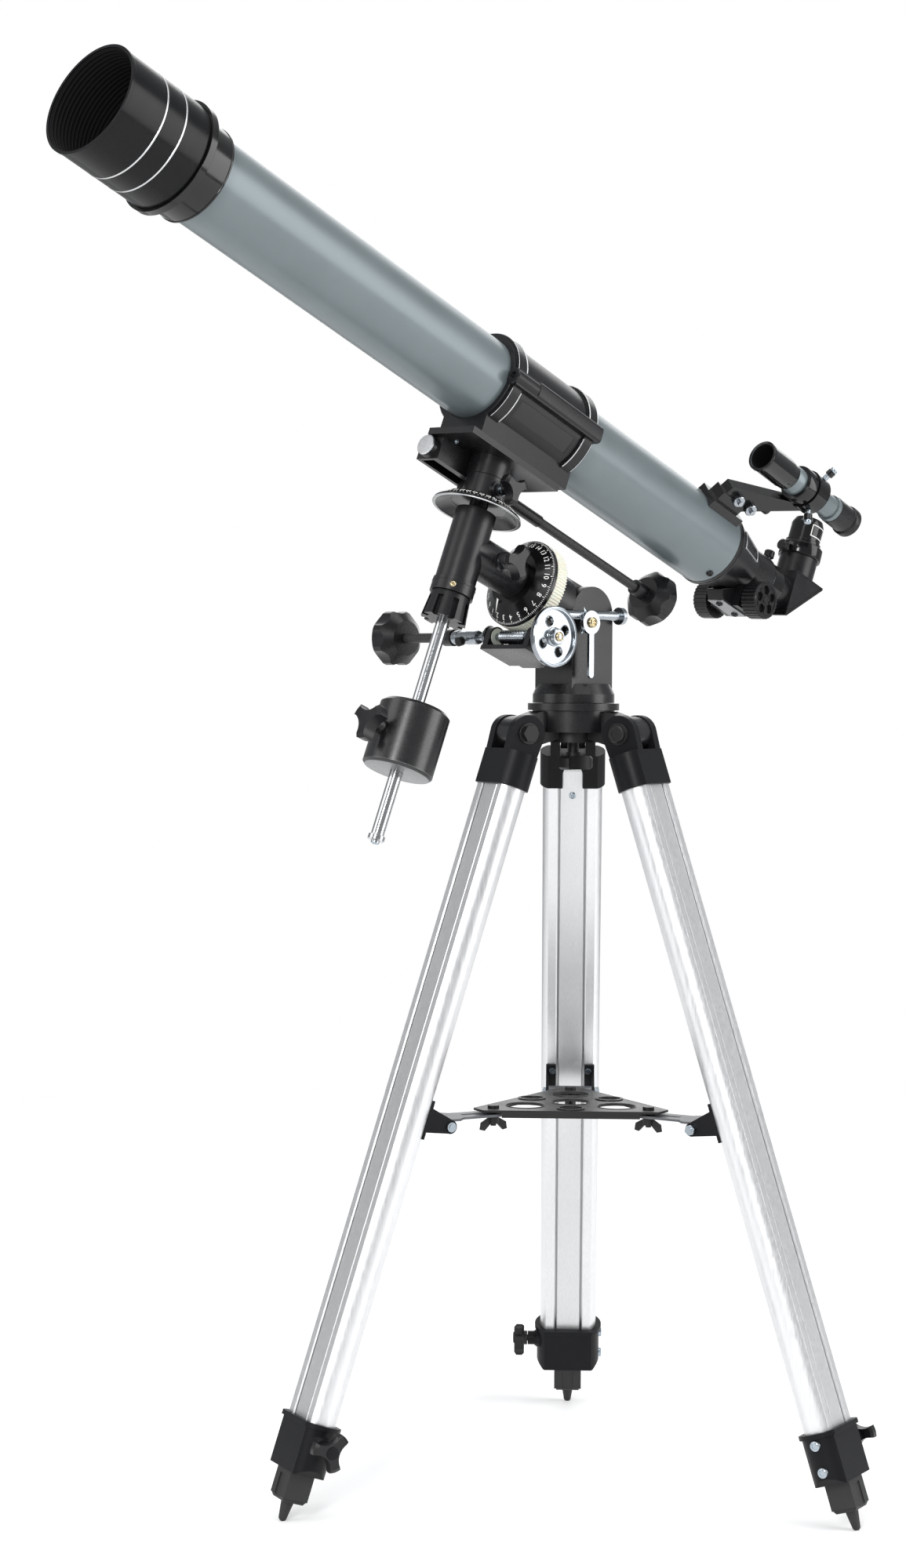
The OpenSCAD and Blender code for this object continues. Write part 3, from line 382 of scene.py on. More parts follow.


# The lighter edge colours given here stand partly for rubbed wear and partly for a painted edge highlight
casting = surface("casting_black", (0.0065, 0.0065, 0.0075), 0.31, edge_wear_and_highlight=(0.03, 0.03, 0.033), grain=520.0,
                  grain_depth=0.00002, specular=0.42)
fork_plastic = surface("fork_black", (0.006, 0.0062, 0.0072), 0.4, edge_wear_and_highlight=(0.028, 0.028, 0.031), grain=700.0,
                       grain_depth=0.00002, specular=0.13)
plastic = surface("plastic_black", (0.006, 0.006, 0.007), 0.3, edge_wear_and_highlight=(0.03, 0.03, 0.032), grain=600.0,
                  grain_depth=0.00001, specular=0.32)
glossy = surface("plastic_gloss", (0.004, 0.004, 0.0045), 0.14, spread=0.05, grain=300.0, grain_depth=0.00001,
                 edge_wear_and_highlight=(0.02, 0.02, 0.022), specular=0.35, coat=0.12, coat_rough=0.06)
shield_paint = surface("shield_gloss", (0.004, 0.0042, 0.0048), 0.26, spread=0.04, grain=90.0, grain_depth=0.00001,
                       specular=0.15, coat=0.05, coat_rough=0.12)
matte = surface("inside_matte", (0.004, 0.004, 0.0045), 0.75, grain=1200.0, grain_depth=0.00005, edge=0.0001,
                specular=0.2)
rubber = surface("foot_rubber", (0.009, 0.009, 0.0095), 0.6, edge_wear_and_highlight=(0.06, 0.058, 0.055), grain=800.0,
                 grain_depth=0.00006)
weight_paint = surface("weight_black", (0.006, 0.006, 0.0068), 0.3, grain=500.0, grain_depth=0.000008,
                       specular=0.6)
# The tray arms are black paint; this grey base colour is their sheen painted in
strap_black_with_painted_sheen = surface("strap_black_painted_sheen", (0.075, 0.078, 0.085), 0.4, edge_wear_and_highlight=(0.25, 0.25, 0.25), grain=700.0)
tray_paint = surface("tray_black", (0.009, 0.0088, 0.0088), 0.38, edge_wear_and_highlight=(0.05, 0.048, 0.046), grain=500.0,
                     specular=0.35)
dial_paint = surface("dial_black", (0.004, 0.004, 0.0045), 0.18, spread=0.05, grain=200.0, grain_depth=0.00001,
                     specular=0.35, coat=0.1)
dial_white = surface("dial_white", (0.78, 0.78, 0.75), 0.5, grain=900.0, vary=0.08, edge=0.00005)
nylon = surface("nylon_white", (0.72, 0.70, 0.60), 0.42, grain=700.0, vary=0.05)
nylon.node_tree.nodes["Principled BSDF"].inputs["Subsurface Weight"].default_value = 0.15
tube_paint = surface("tube_grey", (0.142, 0.170, 0.180), 0.33, spread=0.04, metallic=0.35, grain=1500.0,
                     grain_depth=0.000012, vary=0.05, specular=0.4, coat=0.12, coat_rough=0.2)
cable_sheath = surface("cable_sheath", (0.015, 0.015, 0.016), 0.45, grain=1100.0, grain_depth=0.00008)
zinc = plated("zinc_blue", (0.37, 0.43, 0.49), 0.24, (0.34, 0.36, 0.35))
chrome = plated("chrome_bright", (0.35, 0.375, 0.40), 0.2, (0.28, 0.30, 0.33))
brass = plated("screw_yellow", (0.50, 0.41, 0.24), 0.25, (0.40, 0.35, 0.25))
cover_metal = brushed("cover_alloy", (0.24, 0.245, 0.25), 0.34, scale=(300, 300, 1200))
turned = brushed("turned_alloy", (0.62, 0.63, 0.64), 0.33, scale=(300, 300, 1200))
polished = brushed("polished_shaft", (0.5, 0.51, 0.52), 0.16, scale=(60, 60, 1500), spread=0.04)
slider_metal = {}
rail_metal = {}
for leg in LEGS:
    turn = LEG[leg].to_3x3().normalized().inverted().to_euler()
    rail_metal[leg] = brushed(leg + "_rail_alloy", (0.75, 0.755, 0.765), 0.36, turn, metallic=0.9)
    slider_metal[leg] = brushed(leg + "_slider_alloy", (0.66, 0.665, 0.67), 0.4, turn, metallic=0.9)


def glass_material():
    n = Nodes("coated_glass")
    cloud = n.noise(30.0, 2.0)
    n.link(n.mix(n.spread(cloud, 0.0, 1.0), (0.80, 0.90, 0.98), (0.84, 0.88, 0.99)), n.shader.inputs["Base Color"])
    n.link(n.spread(cloud, 0.0, 0.03), n.shader.inputs["Roughness"])
    n.shader.inputs["Transmission Weight"].default_value = 0.9
    n.shader.inputs["IOR"].default_value = 1.5
    return n.material


glass = glass_material()

FINISH = {
    casting: ["tripod_hub", "mount_base", "polar_head", "ra_housing", "dec_neck", "saddle_head"],
    tray_paint: ["tray_plate", "tray_bolts", "hub_bolts"],
    plastic: ["ra_slow_knob", "dec_slow_knob", "ra_clutch_knob", "dec_clutch_knob", "counterweight_knob",
              "shaft_nut", "cradle_lower", "cradle_upper", "focuser_body", "focus_knobs", "diagonal"],
    glossy: ["eyepiece", "finder_bracket", "lens_cell"],
    dial_paint: ["ra_circle", "dec_circle"],
    nylon: ["worm_wheel"],
    chrome: ["latitude_lever", "latitude_screw", "worm_shaft", "drawtube"],
    polished: ["counterweight_shaft"],
    weight_paint: ["counterweight"],
    tube_paint: ["main_tube", "finder_scope"],
    shield_paint: ["dew_shield"],
    glass: ["objective_lens"],
}
for leg in LEGS:
    FINISH.setdefault(fork_plastic, []).extend([leg + "_leg_brackets", leg + "_leg_collar"])
    FINISH.setdefault(rubber, []).append(leg + "_leg_foot")
    FINISH[plastic].append(leg + "_leg_knob")
    FINISH.setdefault(zinc, []).append(leg + "_leg_screws")
    FINISH.setdefault(strap_black_with_painted_sheen, []).append(leg + "_tray_arm")
    FINISH[rail_metal[leg]] = [leg + "_leg_rails"]
    FINISH[slider_metal[leg]] = [leg + "_leg_slider"]
for finish, names in FINISH.items():
    for name in names:
        NODES[name].data.materials.clear()
        NODES[name].data.materials.append(finish)


# ---- Tripod details ----

HINGE_FACE = 20.1
COLLAR_FACE = 29.9
COLLAR_SCREWS = (-618.5, -641)
CLAMP_HEIGHT = -626
TRAY_TOP = 335.0
HOLE_R = 16.9
for leg in LEGS:
    # Hinge bolts: a recessed head on one side, a nut with a washer on the other
    bolts = Shape()
    bolts.band(0.5, 9.4, 0, 1.1, at(0, HINGE_FACE, 0, ALONG_Y), steps=32)
    bolts.band(0.5, 9.4, 0, 1.1, at(0, -HINGE_FACE, 0, ALONG_Y.inverted()), steps=32)
    bolts.lathe([(0, 0), (7.6, 0), (7.6, 4.2), (6.8, 5.2), (4.2, 5.2), (3.6, 2.5), (0, 2.5)],
                at(0, -HINGE_FACE - 0.3, 0, ALONG_Y.inverted()), steps=32)
    bolts.piece(leg + "_hinge_washers", LEG[leg], leg + "_leg", "black_steel", tray_paint)

    # Phillips heads over the collar's plain screws
    heads = Shape()
    for height in COLLAR_SCREWS:
        heads.screw(4.3, 2.6, at(0, -COLLAR_FACE, height, ALONG_Y.inverted()))
    heads.piece(leg + "_collar_screw_heads", LEG[leg], leg + "_leg", "zinc", zinc)

    # The clamp knob's zinc stud and its domed cap
    stud = Shape()
    stud.lathe([(3.1, 0), (3.6, 0.3), (3.6, 2.9), (3.1, 3.2)], at(0, 39.3, CLAMP_HEIGHT, ALONG_Y), steps=24)
    stud.piece(leg + "_clamp_stud", LEG[leg], leg + "_leg_knob", "zinc", zinc)
    cap = Shape()
    cap.lathe([(0, 0), (5.6, 0), (5.2, 0.9), (3.4, 1.3), (0, 1.3)], at(0, 51.9, CLAMP_HEIGHT, ALONG_Y), steps=32)
    cap.piece(leg + "_knob_cap", LEG[leg], leg + "_leg_knob", "black_plastic", fork_plastic)

# The slider's end screw and block, just under the bracket's arch
for leg in LEGS:
    end = Shape()
    end.screw(3.2, 1.3, at(-11.0, 0, -57, ALONG_X.inverted()))
    end.piece(leg + "_slider_screw", LEG[leg], leg + "_leg_extension", "zinc", zinc)
    block = Shape()
    block.box((-11.35, -8.6, -50.5), (-10.7, 8.6, -33))
    block.piece(leg + "_slider_block", LEG[leg], leg + "_leg_extension", "slider_aluminium", slider_metal[leg],
                bevel=0.25)

# Domed heads of the tray's bolts, and rolled rims round its holes
rims = Shape()
for leg in LEGS:
    place = UPRIGHT.inverted() @ OUTWARD[leg]
    rims.lathe([(0, 0), (5.1, 0), (4.9, 1.4), (3.6, 2.5), (1.6, 3.0), (0, 3.1)],
               place @ at(77.5, 0, TRAY_TOP - 0.4), steps=28)
    rims.wire(HOLE_R, 0.55, place @ at(46, 0, TRAY_TOP), steps=64)
rims.wire(HOLE_R, 0.55, at(0, 0, TRAY_TOP), steps=64)
rims.piece("tray_rims", UPRIGHT, "tray", "black_steel", tray_paint)


# ---- Mount details ----

# Latitude pointer: a bright spiked plate behind the lever's round head
pointer = Shape()
# Points of the plate that stand out of its round edge: degrees and how far
PLATE_R = 10.9
TIPS = {27: 13.4, 63: 16.5, 315: 15.0}
spikes = []
for degrees in range(0, 360, 9):
    turn = math.radians(degrees)
    reach = TIPS.get(degrees, PLATE_R)
    spikes.append((reach * math.cos(turn), -reach * math.sin(turn)))
LEVER = MOUNT @ at(13.6, 32.6, 756.0)
pointer.prism(spikes, -1.6, -0.7, ALONG_Y @ Matrix.Scale(0.92, 4))
pointer.piece("latitude_pointer", LEVER, "latitude_lever", "bright_steel", zinc)
screw = Shape()
screw.screw(4.6, 2.6, at(0, 3.2, 0, ALONG_Y))
screw.piece("latitude_lever_screw", LEVER, "latitude_lever", "zinc", brass)

# The worm's bright disc: a rolled rim, a hub and a yellow screw
WORM = POLAR @ at(46.4, 0, -80)
disc = Shape()
disc.lathe([(22.9, 0.2), (25.6, 0.2), (26.0, 0.9), (26.0, 4.4), (25.3, 5.3), (24.0, 5.5), (23.0, 4.6), (22.7, 3.2)],
           at(0, 47.4, 0, ALONG_Y), steps=96)
disc.lathe([(0, 0), (8.4, 0), (8.2, 1.0), (6.9, 1.6), (6.7, 5.8), (5.9, 6.4), (0, 6.4)], at(0, 49.9, 0, ALONG_Y))
for i in range(4):
    place = Matrix.Rotation(math.radians(45 + 90 * i), 4, "Y") @ at(14, 50.0, 0, ALONG_Y)
    disc.lathe([(4.3, -0.4), (5.1, 0.1), (4.7, 0.5), (4.3, 0.35)], place, steps=32)
disc.piece("worm_disc_rim", WORM, "worm", "bright_steel", chrome)
screw = Shape()
screw.screw(4.0, 2.2, at(0, 56.4, 0, ALONG_Y))
screw.piece("worm_disc_screw", WORM, "worm", "zinc", brass)
washers = Shape()
washers.band(3.1, 7.6, 0, 2.0, at(0, -20.6, 0, ALONG_Y))
washers.piece("worm_washer", WORM, "worm", "wheel_plastic", nylon)
flange = Shape()
flange.lathe([(3.05, 0), (9.6, 0), (10.2, 1.2), (9.4, 2.5), (5.8, 2.9), (3.05, 2.9)], at(0, -28.6, 0, ALONG_Y))
flange.lathe([(3.05, 0), (6.6, 0), (6.6, 3.4), (3.05, 3.4)], at(0, -33.4, 0, ALONG_Y), steps=6)
flange.lathe([(5.4, 0.0), (6.0, 0.4), (6.0, 12.5), (5.4, 13)], at(0, -56, 0, ALONG_Y))
flange.lathe([(5.4, 0.0), (6.3, 0.4), (6.3, 6.5), (5.4, 7)], at(0, -73, 0, ALONG_Y))
flange.piece("worm_sleeve", WORM, "worm", "bright_steel", chrome)
THUMB = WORM @ at(0, -50, 0, Matrix.Rotation(math.radians(-55), 4, "Y")) @ ALONG_X
thumb = Shape()
for i in range(18):
    thumb.box((3.2, -0.35, 13.0), (4.1, 0.35, 18.2), Matrix.Rotation(math.radians(i * 20), 4, "Z"))
thumb.lathe([(0, 12.8), (3.4, 12.8), (3.7, 13.4), (3.7, 17.9), (3.2, 18.5), (0, 18.5)])
thumb.piece("worm_thumb_head", THUMB, "worm", "black_plastic", plastic)


MARK_LIFT = 0.06
LONG_TICK = 0.55
SHORT_TICK = 0.4


def numbered_ring(name, where, body, numbers, radius, slope, tick_in, tick_out, size, long_ticks, short_ticks,
                  first=0.0):
    """Numbers and ticks lying on a cone. slope gives the height at a radius, in the frame's Z."""
    marks = Shape()
    tilt = math.atan2(slope(radius + 1) - slope(radius - 1), 2)
    for i, text in enumerate(numbers):
        turn = Matrix.Rotation(math.radians(first + i * 360 / len(numbers)), 4, "Z")
        lay = turn @ at(radius, 0, slope(radius) + MARK_LIFT) @ Matrix.Rotation(-tilt, 4, "Y")
        lay = lay @ Matrix.Rotation(math.radians(-90), 4, "Z") @ Matrix.Diagonal((size, size, 3, 1))
        marks.mesh(glyph(text), lay)
    for count, start, wide in ((long_ticks, tick_in, LONG_TICK),
                               (short_ticks, (tick_in + tick_out) / 2, SHORT_TICK)):
        middle = (start + tick_out) / 2
        half = (tick_out - start) / 2
        for i in range(count):
            turn = Matrix.Rotation(math.radians(first + i * 360 / count), 4, "Z")
            lay = turn @ at(middle, 0, slope(middle) + MARK_LIFT) @ Matrix.Rotation(-tilt, 4, "Y")
            marks.box((-half, -wide / 2, -0.05), (half, wide / 2, 0.06), lay)
    marks.piece(name, where, body, "dial_black", dial_white)


def ra_slope(r):
    return -62 - (r - 25) * 9 / 14.5


def dec_slope(r):
    return 36.3 + (38.2 - r) * 6.2 / 8.2


NUMBERS_R = 33.4
hours = [str(h) for h in range(24)]
degrees_round = [str(v) for v in (*range(0, 91, 10), *range(80, 0, -10))] * 2
numbered_ring("ra_circle_numbers", POLAR, "ra_circle", hours, NUMBERS_R, ra_slope, 36.2, 39.0, 4.6, 24, 144,
              first=-52.5)
ring = Shape()
ring.lathe([(37.6, 35.9), (38.2, 36.3), (30.0, 42.5), (27.2, 42.3)], steps=96)
ring.piece("dec_circle_band", DEC, "dec_circle", "dial_black", dial_paint)
numbered_ring("dec_circle_numbers", DEC, "dec_circle", degrees_round, NUMBERS_R, dec_slope, 35.4, 37.6, 3.4,
              36, 72)
ring = Shape()
ring.lathe([(36.4, 33.7), (38.8, 33.6), (39.1, 34.0), (38.9, 34.5), (37.9, 34.3)], steps=96)
ring.piece("dec_circle_rim", DEC, "dec_circle", "bright_steel", turned)
ring = Shape()
ring.lathe([(24, 39.9), (26.1, 39.85), (36.6, 33.95), (36.9, 34.2), (26.2, 40.2), (24, 40.2)], steps=96)
ring.piece("dec_circle_underside", DEC, "dec_circle", "dial_black",
           surface("dial_underside", (0.012, 0.012, 0.013), 0.25, grain=400.0, grain_depth=0.00001,
                   specular=0.4))

# A slender white pointer over the right-ascension circle
index = Shape()
index.prism([(0, -1.3), (13.5, 0), (0, 1.3)], 0, 0.35)
lean = Matrix.Rotation(math.atan(9 / 14.5), 4, "Y")
index.piece("ra_pointer", POLAR @ Matrix.Rotation(math.radians(-27), 4, "Z") @ at(21.5, 0, -59.6, lean),
            "polar_axis", "dial_black", dial_white)

# Shanks between the clutch knobs and their bosses, the housing's seams and set screw, the saddle's cap and screws
shanks = Shape()
shanks.lathe([(5.5, 0), (5.7, 0.3), (5.7, 5.4), (5.5, 5.6)], at(0, 21.5, -28, ALONG_Y), steps=32)
shanks.piece("ra_clutch_shank", POLAR, "ra_clutch_knob", "zinc", zinc)
shanks = Shape()
shanks.lathe([(5.4, 0), (5.6, 0.3), (5.6, 6.6), (5.4, 6.8)], at(0, 20.6, 54.2, ALONG_Y), steps=32)
shanks.piece("dec_clutch_shank", DEC, "dec_clutch_knob", "zinc", zinc)
seam = Shape()
for low, radius in ((30.7, 17.55), (33.6, 18.75)):
    seam.lathe([(radius, low), (radius + 0.25, low + 0.15), (radius + 0.25, low + 0.55), (radius, low + 0.7)],
               ALONG_X, steps=64)
seam.piece("housing_seams", POLAR, "polar_axis", "black_casting", casting)
screw = Shape()
outwards = Vector((0, 0.72, 0.69))
screw.screw(2.6, 1.3, towards(Vector((37.5, 0, 0)) + outwards * 18.3, outwards), "slot")
screw.piece("housing_set_screw", POLAR, "polar_axis", "zinc", brass)
cap = Shape()
cap.lathe([(0, 0), (9.2, 0), (9.2, 1.0), (8.6, 1.7), (0, 1.9)], at(55.6, -24, 71, ALONG_X), steps=64)
cap.piece("tangent_cap", SADDLE, "saddle", "bright_steel", turned)
screws = Shape()
screws.screw(2.2, 1.2, at(40, -6.5, 80.8, DOWNWARDS))
screws.screw(2.6, 1.4, at(22, -37.0, 69, ALONG_Y.inverted()))
screws.screw(2.6, 1.4, at(-22, -37.0, 69, ALONG_Y.inverted()))
screws.piece("saddle_screws", SADDLE, "saddle", "zinc", zinc)

# Ribbed sheaths of the slow-motion controls, and the bright coupling of the declination one
TANGENT = SADDLE @ at(0, -24, 71)
SHEATH_PITCH = 1.6
SHEATH_R = 4.02
SHEATH_RIB_R = 4.3
coupling = Shape()
coupling.lathe([(0, 0), (5.4, 0), (7.3, 1.4), (7.3, 12), (6, 13.5), (0, 13.5)], at(-56, 0, 0, ALONG_X))
coupling.piece("dec_coupling", TANGENT, "dec_slow_knob", "bright_steel", chrome)
for name, where, body, start, end, turn in (
        ("ra_cable", WORM, "worm", -137, -85, ALONG_Y),
        ("dec_cable", TANGENT, "dec_slow_knob", -257, -99, ALONG_X)):
    cable = Shape()
    profile = [(0, start)]
    count = int((end - start) / SHEATH_PITCH)
    for i in range(count):
        z = start + (end - start) * i / count
        profile += [(SHEATH_R, z + 0.2), (SHEATH_RIB_R, z + 0.8), (SHEATH_R, z + 1.4)]
    profile.append((0, end))
    cable.lathe(profile, turn, steps=24)
    cable.piece(name, where, body, "black_plastic", cable_sheath)

# Counterweight: a turned lower face and shoulder; the screw in the shaft's end
WEIGHT_FOOT = -28.5
weight = DEC @ at(0, 0, -173)
face = Shape()
face.lathe([(5.7, WEIGHT_FOOT - 0.25), (26.8, WEIGHT_FOOT - 0.25), (28.0, WEIGHT_FOOT + 0.1),
            (29.9, WEIGHT_FOOT + 2.0), (30.1, WEIGHT_FOOT + 2.5), (29.6, WEIGHT_FOOT + 2.6),
            (5.7, WEIGHT_FOOT + 0.2)], steps=96)
face.piece("counterweight_face", weight, "counterweight", "counterweight_iron", cover_metal)
shank = Shape()
shank.lathe([(6.0, 30.2), (6.3, 30.5), (6.3, 35.5), (6.0, 36)], ALONG_X, steps=32)
shank.piece("counterweight_shank", weight, "counterweight_knob", "counterweight_iron", plastic)
end = Shape()
end.screw(3.6, 1.2, at(0, 0, -263.6, DOWNWARDS))
end.piece("shaft_end_screw", DEC, "declination_axis", "zinc", zinc)


# ---- Cradle details ----

CRADLE_FRONT = 45.5
CRADLE_REAR = -69.5
RIB_R = 43.55
for name, body, arcs in (
        ("cradle_pins_upper", "cradle_upper", ((9, 158),)),
        ("cradle_pins_lower", "saddle", ((-52, 40), (-166, 38)))):
    pins = Shape()
    for x, thick in ((CRADLE_FRONT - 14, 0.55), (CRADLE_REAR + 14, 0.55), (CRADLE_FRONT - 3, 0.3),
                     (CRADLE_REAR + 3, 0.3)):
        for start, sweep in arcs:
            # Angles run from +Y towards +Z, round X
            pins.wire(RIB_R, thick, at(x, 0, 0, YZ_ALONG_X), steps=48, start=start, sweep=sweep)
    pins.piece(name, TUBE, body, "bright_steel", turned)
latch = Shape()
outline = []
for cy, cz, begin in ((44.6, 5.2, 0), (40.4, 5.2, 90), (40.4, -3.0, 180), (44.6, -3.0, 270)):
    for k in range(5):
        turn = math.radians(begin + k * 22.5)
        outline.append((cy + 3.6 * math.cos(turn), cz + 3.6 * math.sin(turn)))
latch.prism(outline, CRADLE_REAR - 1.5, CRADLE_FRONT - 28.5, YZ_ALONG_X)
latch.piece("cradle_latch", TUBE, "cradle_upper", "black_plastic", plastic, bevel=0.9)
barrel = Shape()
barrel.lathe([(0, -27.9), (6.6, -27.9), (7.4, -27.2), (7.4, 0.2), (6.6, 1.0), (3.4, 1.0), (3.0, -5), (0, -5)],
             at(CRADLE_FRONT, 42.3, 0.4, ALONG_X), steps=40)
barrel.piece("cradle_barrel", TUBE, "saddle", "black_plastic", plastic)
liner = Shape()
liner.lathe([(36.9, -49), (40.7, -49), (40.7, 25), (36.9, 25)], YZ_ALONG_X, steps=16, start=-47, sweep=34)
liner.piece("cradle_side_cover", TUBE, "saddle", "black_casting", casting)


# ---- Telescope details ----

def ring_on_tube(name, body, slot, material, radius, thick, low, high):
    ring = Shape()
    ring.band(radius - 0.3, radius + thick, low, high, ALONG_X, steps=128)
    ring.piece(name, TUBE, body, slot, material)


MOUTH = 498
SHIELD_R = 45
TUBE_REAR = -295
bands = Shape()
for x in (460.4, 440.6):
    bands.band(SHIELD_R - 0.2, SHIELD_R + 0.14, x, x + 1.5, ALONG_X, steps=128)
bands.piece("dew_shield_bands", TUBE, "dew_shield", "bright_steel", turned)
liner = Shape()
inside = [(43.25, MOUTH - 1.2), (42.9, MOUTH - 1.4)]
for i in range(20):
    x = MOUTH - 3 - i * 3.5
    inside += [(42.9, x), (42.5, x - 0.6), (42.9, x - 1.2)]
inside += [(42.9, MOUTH - 73.5), (43.25, MOUTH - 73.5)]
liner.lathe(inside, ALONG_X, steps=96)
liner.piece("dew_shield_liner", TUBE, "dew_shield", "gloss_black", matte)
cell = Shape()
cell.lathe([(32.2, MOUTH - 87.5), (43.1, MOUTH - 87.5), (43.1, MOUTH - 73.8), (42.0, MOUTH - 73.6), (38, MOUTH - 80),
            (34.6, MOUTH - 81.5), (34.2, MOUTH - 84.5), (32.2, MOUTH - 85.5)], ALONG_X, steps=96)
cell.piece("lens_retainer", TUBE, "telescope", "gloss_black", matte)
dark = Shape()
inside = [(34.9, 395)]
for x in (300, 180, 60, -60, -180):
    inside += [(34.9, x), (29.5, x - 0.5), (29.5, x - 1.5), (34.9, x - 2)]
inside += [(34.9, -250), (17.8, -270), (17.8, -271), (34.98, -251), (34.98, 395)]
dark.lathe(inside, ALONG_X, steps=64)
dark.piece("tube_baffles", TUBE, "telescope", "black_plastic", matte)
ring_on_tube("cell_lip", "telescope", "gloss_black", glossy, 39.9, 0.6, MOUTH - 112.3, MOUTH - 110.5)

# Three black screws hold the focuser in the tube
pans = Shape()
for turn in (-60, 60, 180):
    direction = Vector((0, math.cos(math.radians(turn)), math.sin(math.radians(turn))))
    pans.screw(3.4, 2.3, towards(Vector((-287, 0, 0)) + direction * 36.4, direction))
pans.piece("tube_rear_screws", TUBE, "telescope", "black_steel", plastic)
ring_on_tube("focuser_seam", "telescope", "black_plastic", glossy, 36.7, 0.5, TUBE_REAR - 5.2, TUBE_REAR - 3.6)


CONE_LENGTH = 45
CONE_SMALL_R = 23.5
CONE_GROWTH = 13


def on_focuser_cone(x, turn, lift):
    """A point lifted off the focuser's cone, turn degrees from +Y towards +Z."""
    share = (x - (TUBE_REAR - 50)) / CONE_LENGTH
    r = CONE_SMALL_R + CONE_GROWTH * share + lift
    return Vector((x, r * math.cos(math.radians(turn)), r * math.sin(math.radians(turn))))


# A blank badge in a thin bright frame on the focuser's cone
badge = Shape()
BADGE_FRONT, BADGE_LENGTH = -307, 30
BADGE_LOW, BADGE_SWEEP = 4, 28
BADGE_STEPS = 8
BADGE_LINE = 0.7
BADGE_LIFT = 0.45
shares = [i / BADGE_STEPS for i in range(BADGE_STEPS + 1)]
sides = [[on_focuser_cone(BADGE_FRONT - BADGE_LENGTH * share, turn, BADGE_LIFT) for share in shares]
         for turn in (BADGE_LOW, BADGE_LOW + BADGE_SWEEP)]
sides += [[on_focuser_cone(x, BADGE_LOW + BADGE_SWEEP * share, BADGE_LIFT) for share in shares]
          for x in (BADGE_FRONT, BADGE_FRONT - BADGE_LENGTH)]
for points in sides:
    for a, b in zip(points, points[1:]):
        badge.box((-BADGE_LINE, -BADGE_LINE, 0), (BADGE_LINE, BADGE_LINE, (b - a).length), towards(a, b - a))
badge.piece("focuser_badge_frame", TUBE, "telescope", "bright_steel", turned)

# The bright cover under the pinion, its screws, and the spokes of the knobs
PINION_X = -352.6
KNOB_FACE = 36.0
cover = Shape()
cover.box((PINION_X - 11, -9, -42.3), (PINION_X + 27, 9, -41.0))
cover.piece("rack_cover", TUBE, "telescope", "bright_steel", cover_metal, bevel=0.3)
support = Shape()
support.prism([(PINION_X + 12.5, -41), (PINION_X + 27, -41), (PINION_X + 33, -33), (PINION_X + 12.5, -22)],
              -9, 9, XZ_ALONG_Y)
support.piece("rack_cover_seat", TUBE, "telescope", "black_plastic", plastic, bevel=0.5)
screws = Shape()
for x in (PINION_X - 5, PINION_X + 20):
    screws.screw(3.3, 2.0, at(x, 0, -42.2, DOWNWARDS))
screws.piece("rack_cover_screws", TUBE, "telescope", "black_steel", plastic)
spokes = Shape()
for side in (-1, 1):
    outer = at(0, side * KNOB_FACE, 0, ALONG_Y if side > 0 else ALONG_Y.inverted())
    # A raised ring, a hub and ten leaning spokes on each knob's face
    spokes.lathe([(14.2, -0.2), (14.2, 0.6), (15.6, 0.6), (16.0, -0.2)], outer, steps=64)
    spokes.lathe([(0, -0.2), (3.2, -0.2), (3.0, 0.8), (0, 1.0)], outer, steps=32)
    for i in range(10):
        arm = outer @ Matrix.Rotation(math.radians(i * 36 + 18), 4, "Z")
        slant = Matrix.Rotation(math.radians(14 * (-1) ** i), 4, "Z")
        spokes.box((5.2, -0.8, -0.2), (12.4, 0.8, 0.7), arm @ slant)
spokes.piece("focus_knob_spokes", TUBE @ at(PINION_X, 0, -30), "focus_knobs", "black_plastic", plastic)

# Diagonal: raised edge ribs on both cheeks, the socket's collar and its thumb screw
FACE_X = TUBE_REAR - 108
SOCKET_X = MOUTH - 924
CHEEK = 21.5
THUMB_HEIGHT = 47
edge = Shape()
corners = [(FACE_X - 0.8, -21), (FACE_X - 0.8, 22.2), (FACE_X - 42.5, 22.2)]
for side in (-1, 1):
    for (x0, z0), (x1, z1) in zip(corners, corners[1:] + corners[:1]):
        a = Vector((x0, side * CHEEK, z0))
        b = Vector((x1, side * CHEEK, z1))
        edge.box((-0.5, -0.45, 0), (0.5, 0.45, (b - a).length), towards(a, b - a))
edge.piece("diagonal_edges", TUBE, "diagonal", "black_plastic", plastic)
collar = Shape()
collar.lathe([(18.4, 44.6), (20.2, 44.8), (20.6, 45.4), (20.6, 56.2), (20.0, 57.0), (18.4, 57.2)],
             at(SOCKET_X, 0, 0), steps=64)
collar.piece("socket_collar", TUBE, "diagonal", "black_plastic", glossy)
thumb = Shape()
thumb.lathe([(0, 0), (4.4, 0), (5.0, 0.6), (5.0, 6.2), (4.3, 7.0), (0, 7.0)],
            at(SOCKET_X + 24.2, 0, THUMB_HEIGHT, ALONG_X), steps=32)
for i in range(16):
    thumb.box((4.7, -0.45, 24.8), (5.3, 0.45, 30.6),
              at(SOCKET_X, 0, THUMB_HEIGHT, ALONG_X) @ Matrix.Rotation(math.radians(i * 22.5), 4, "Z"))
thumb.piece("socket_thumb_screw", TUBE, "diagonal", "black_plastic", plastic)
shank = Shape()
shank.lathe([(2.0, 0), (2.4, 0.2), (2.4, 4.2), (2.0, 4.4)], at(SOCKET_X + 20.0, 0, THUMB_HEIGHT, ALONG_X), steps=24)
shank.piece("socket_shank", TUBE, "diagonal", "zinc", zinc)

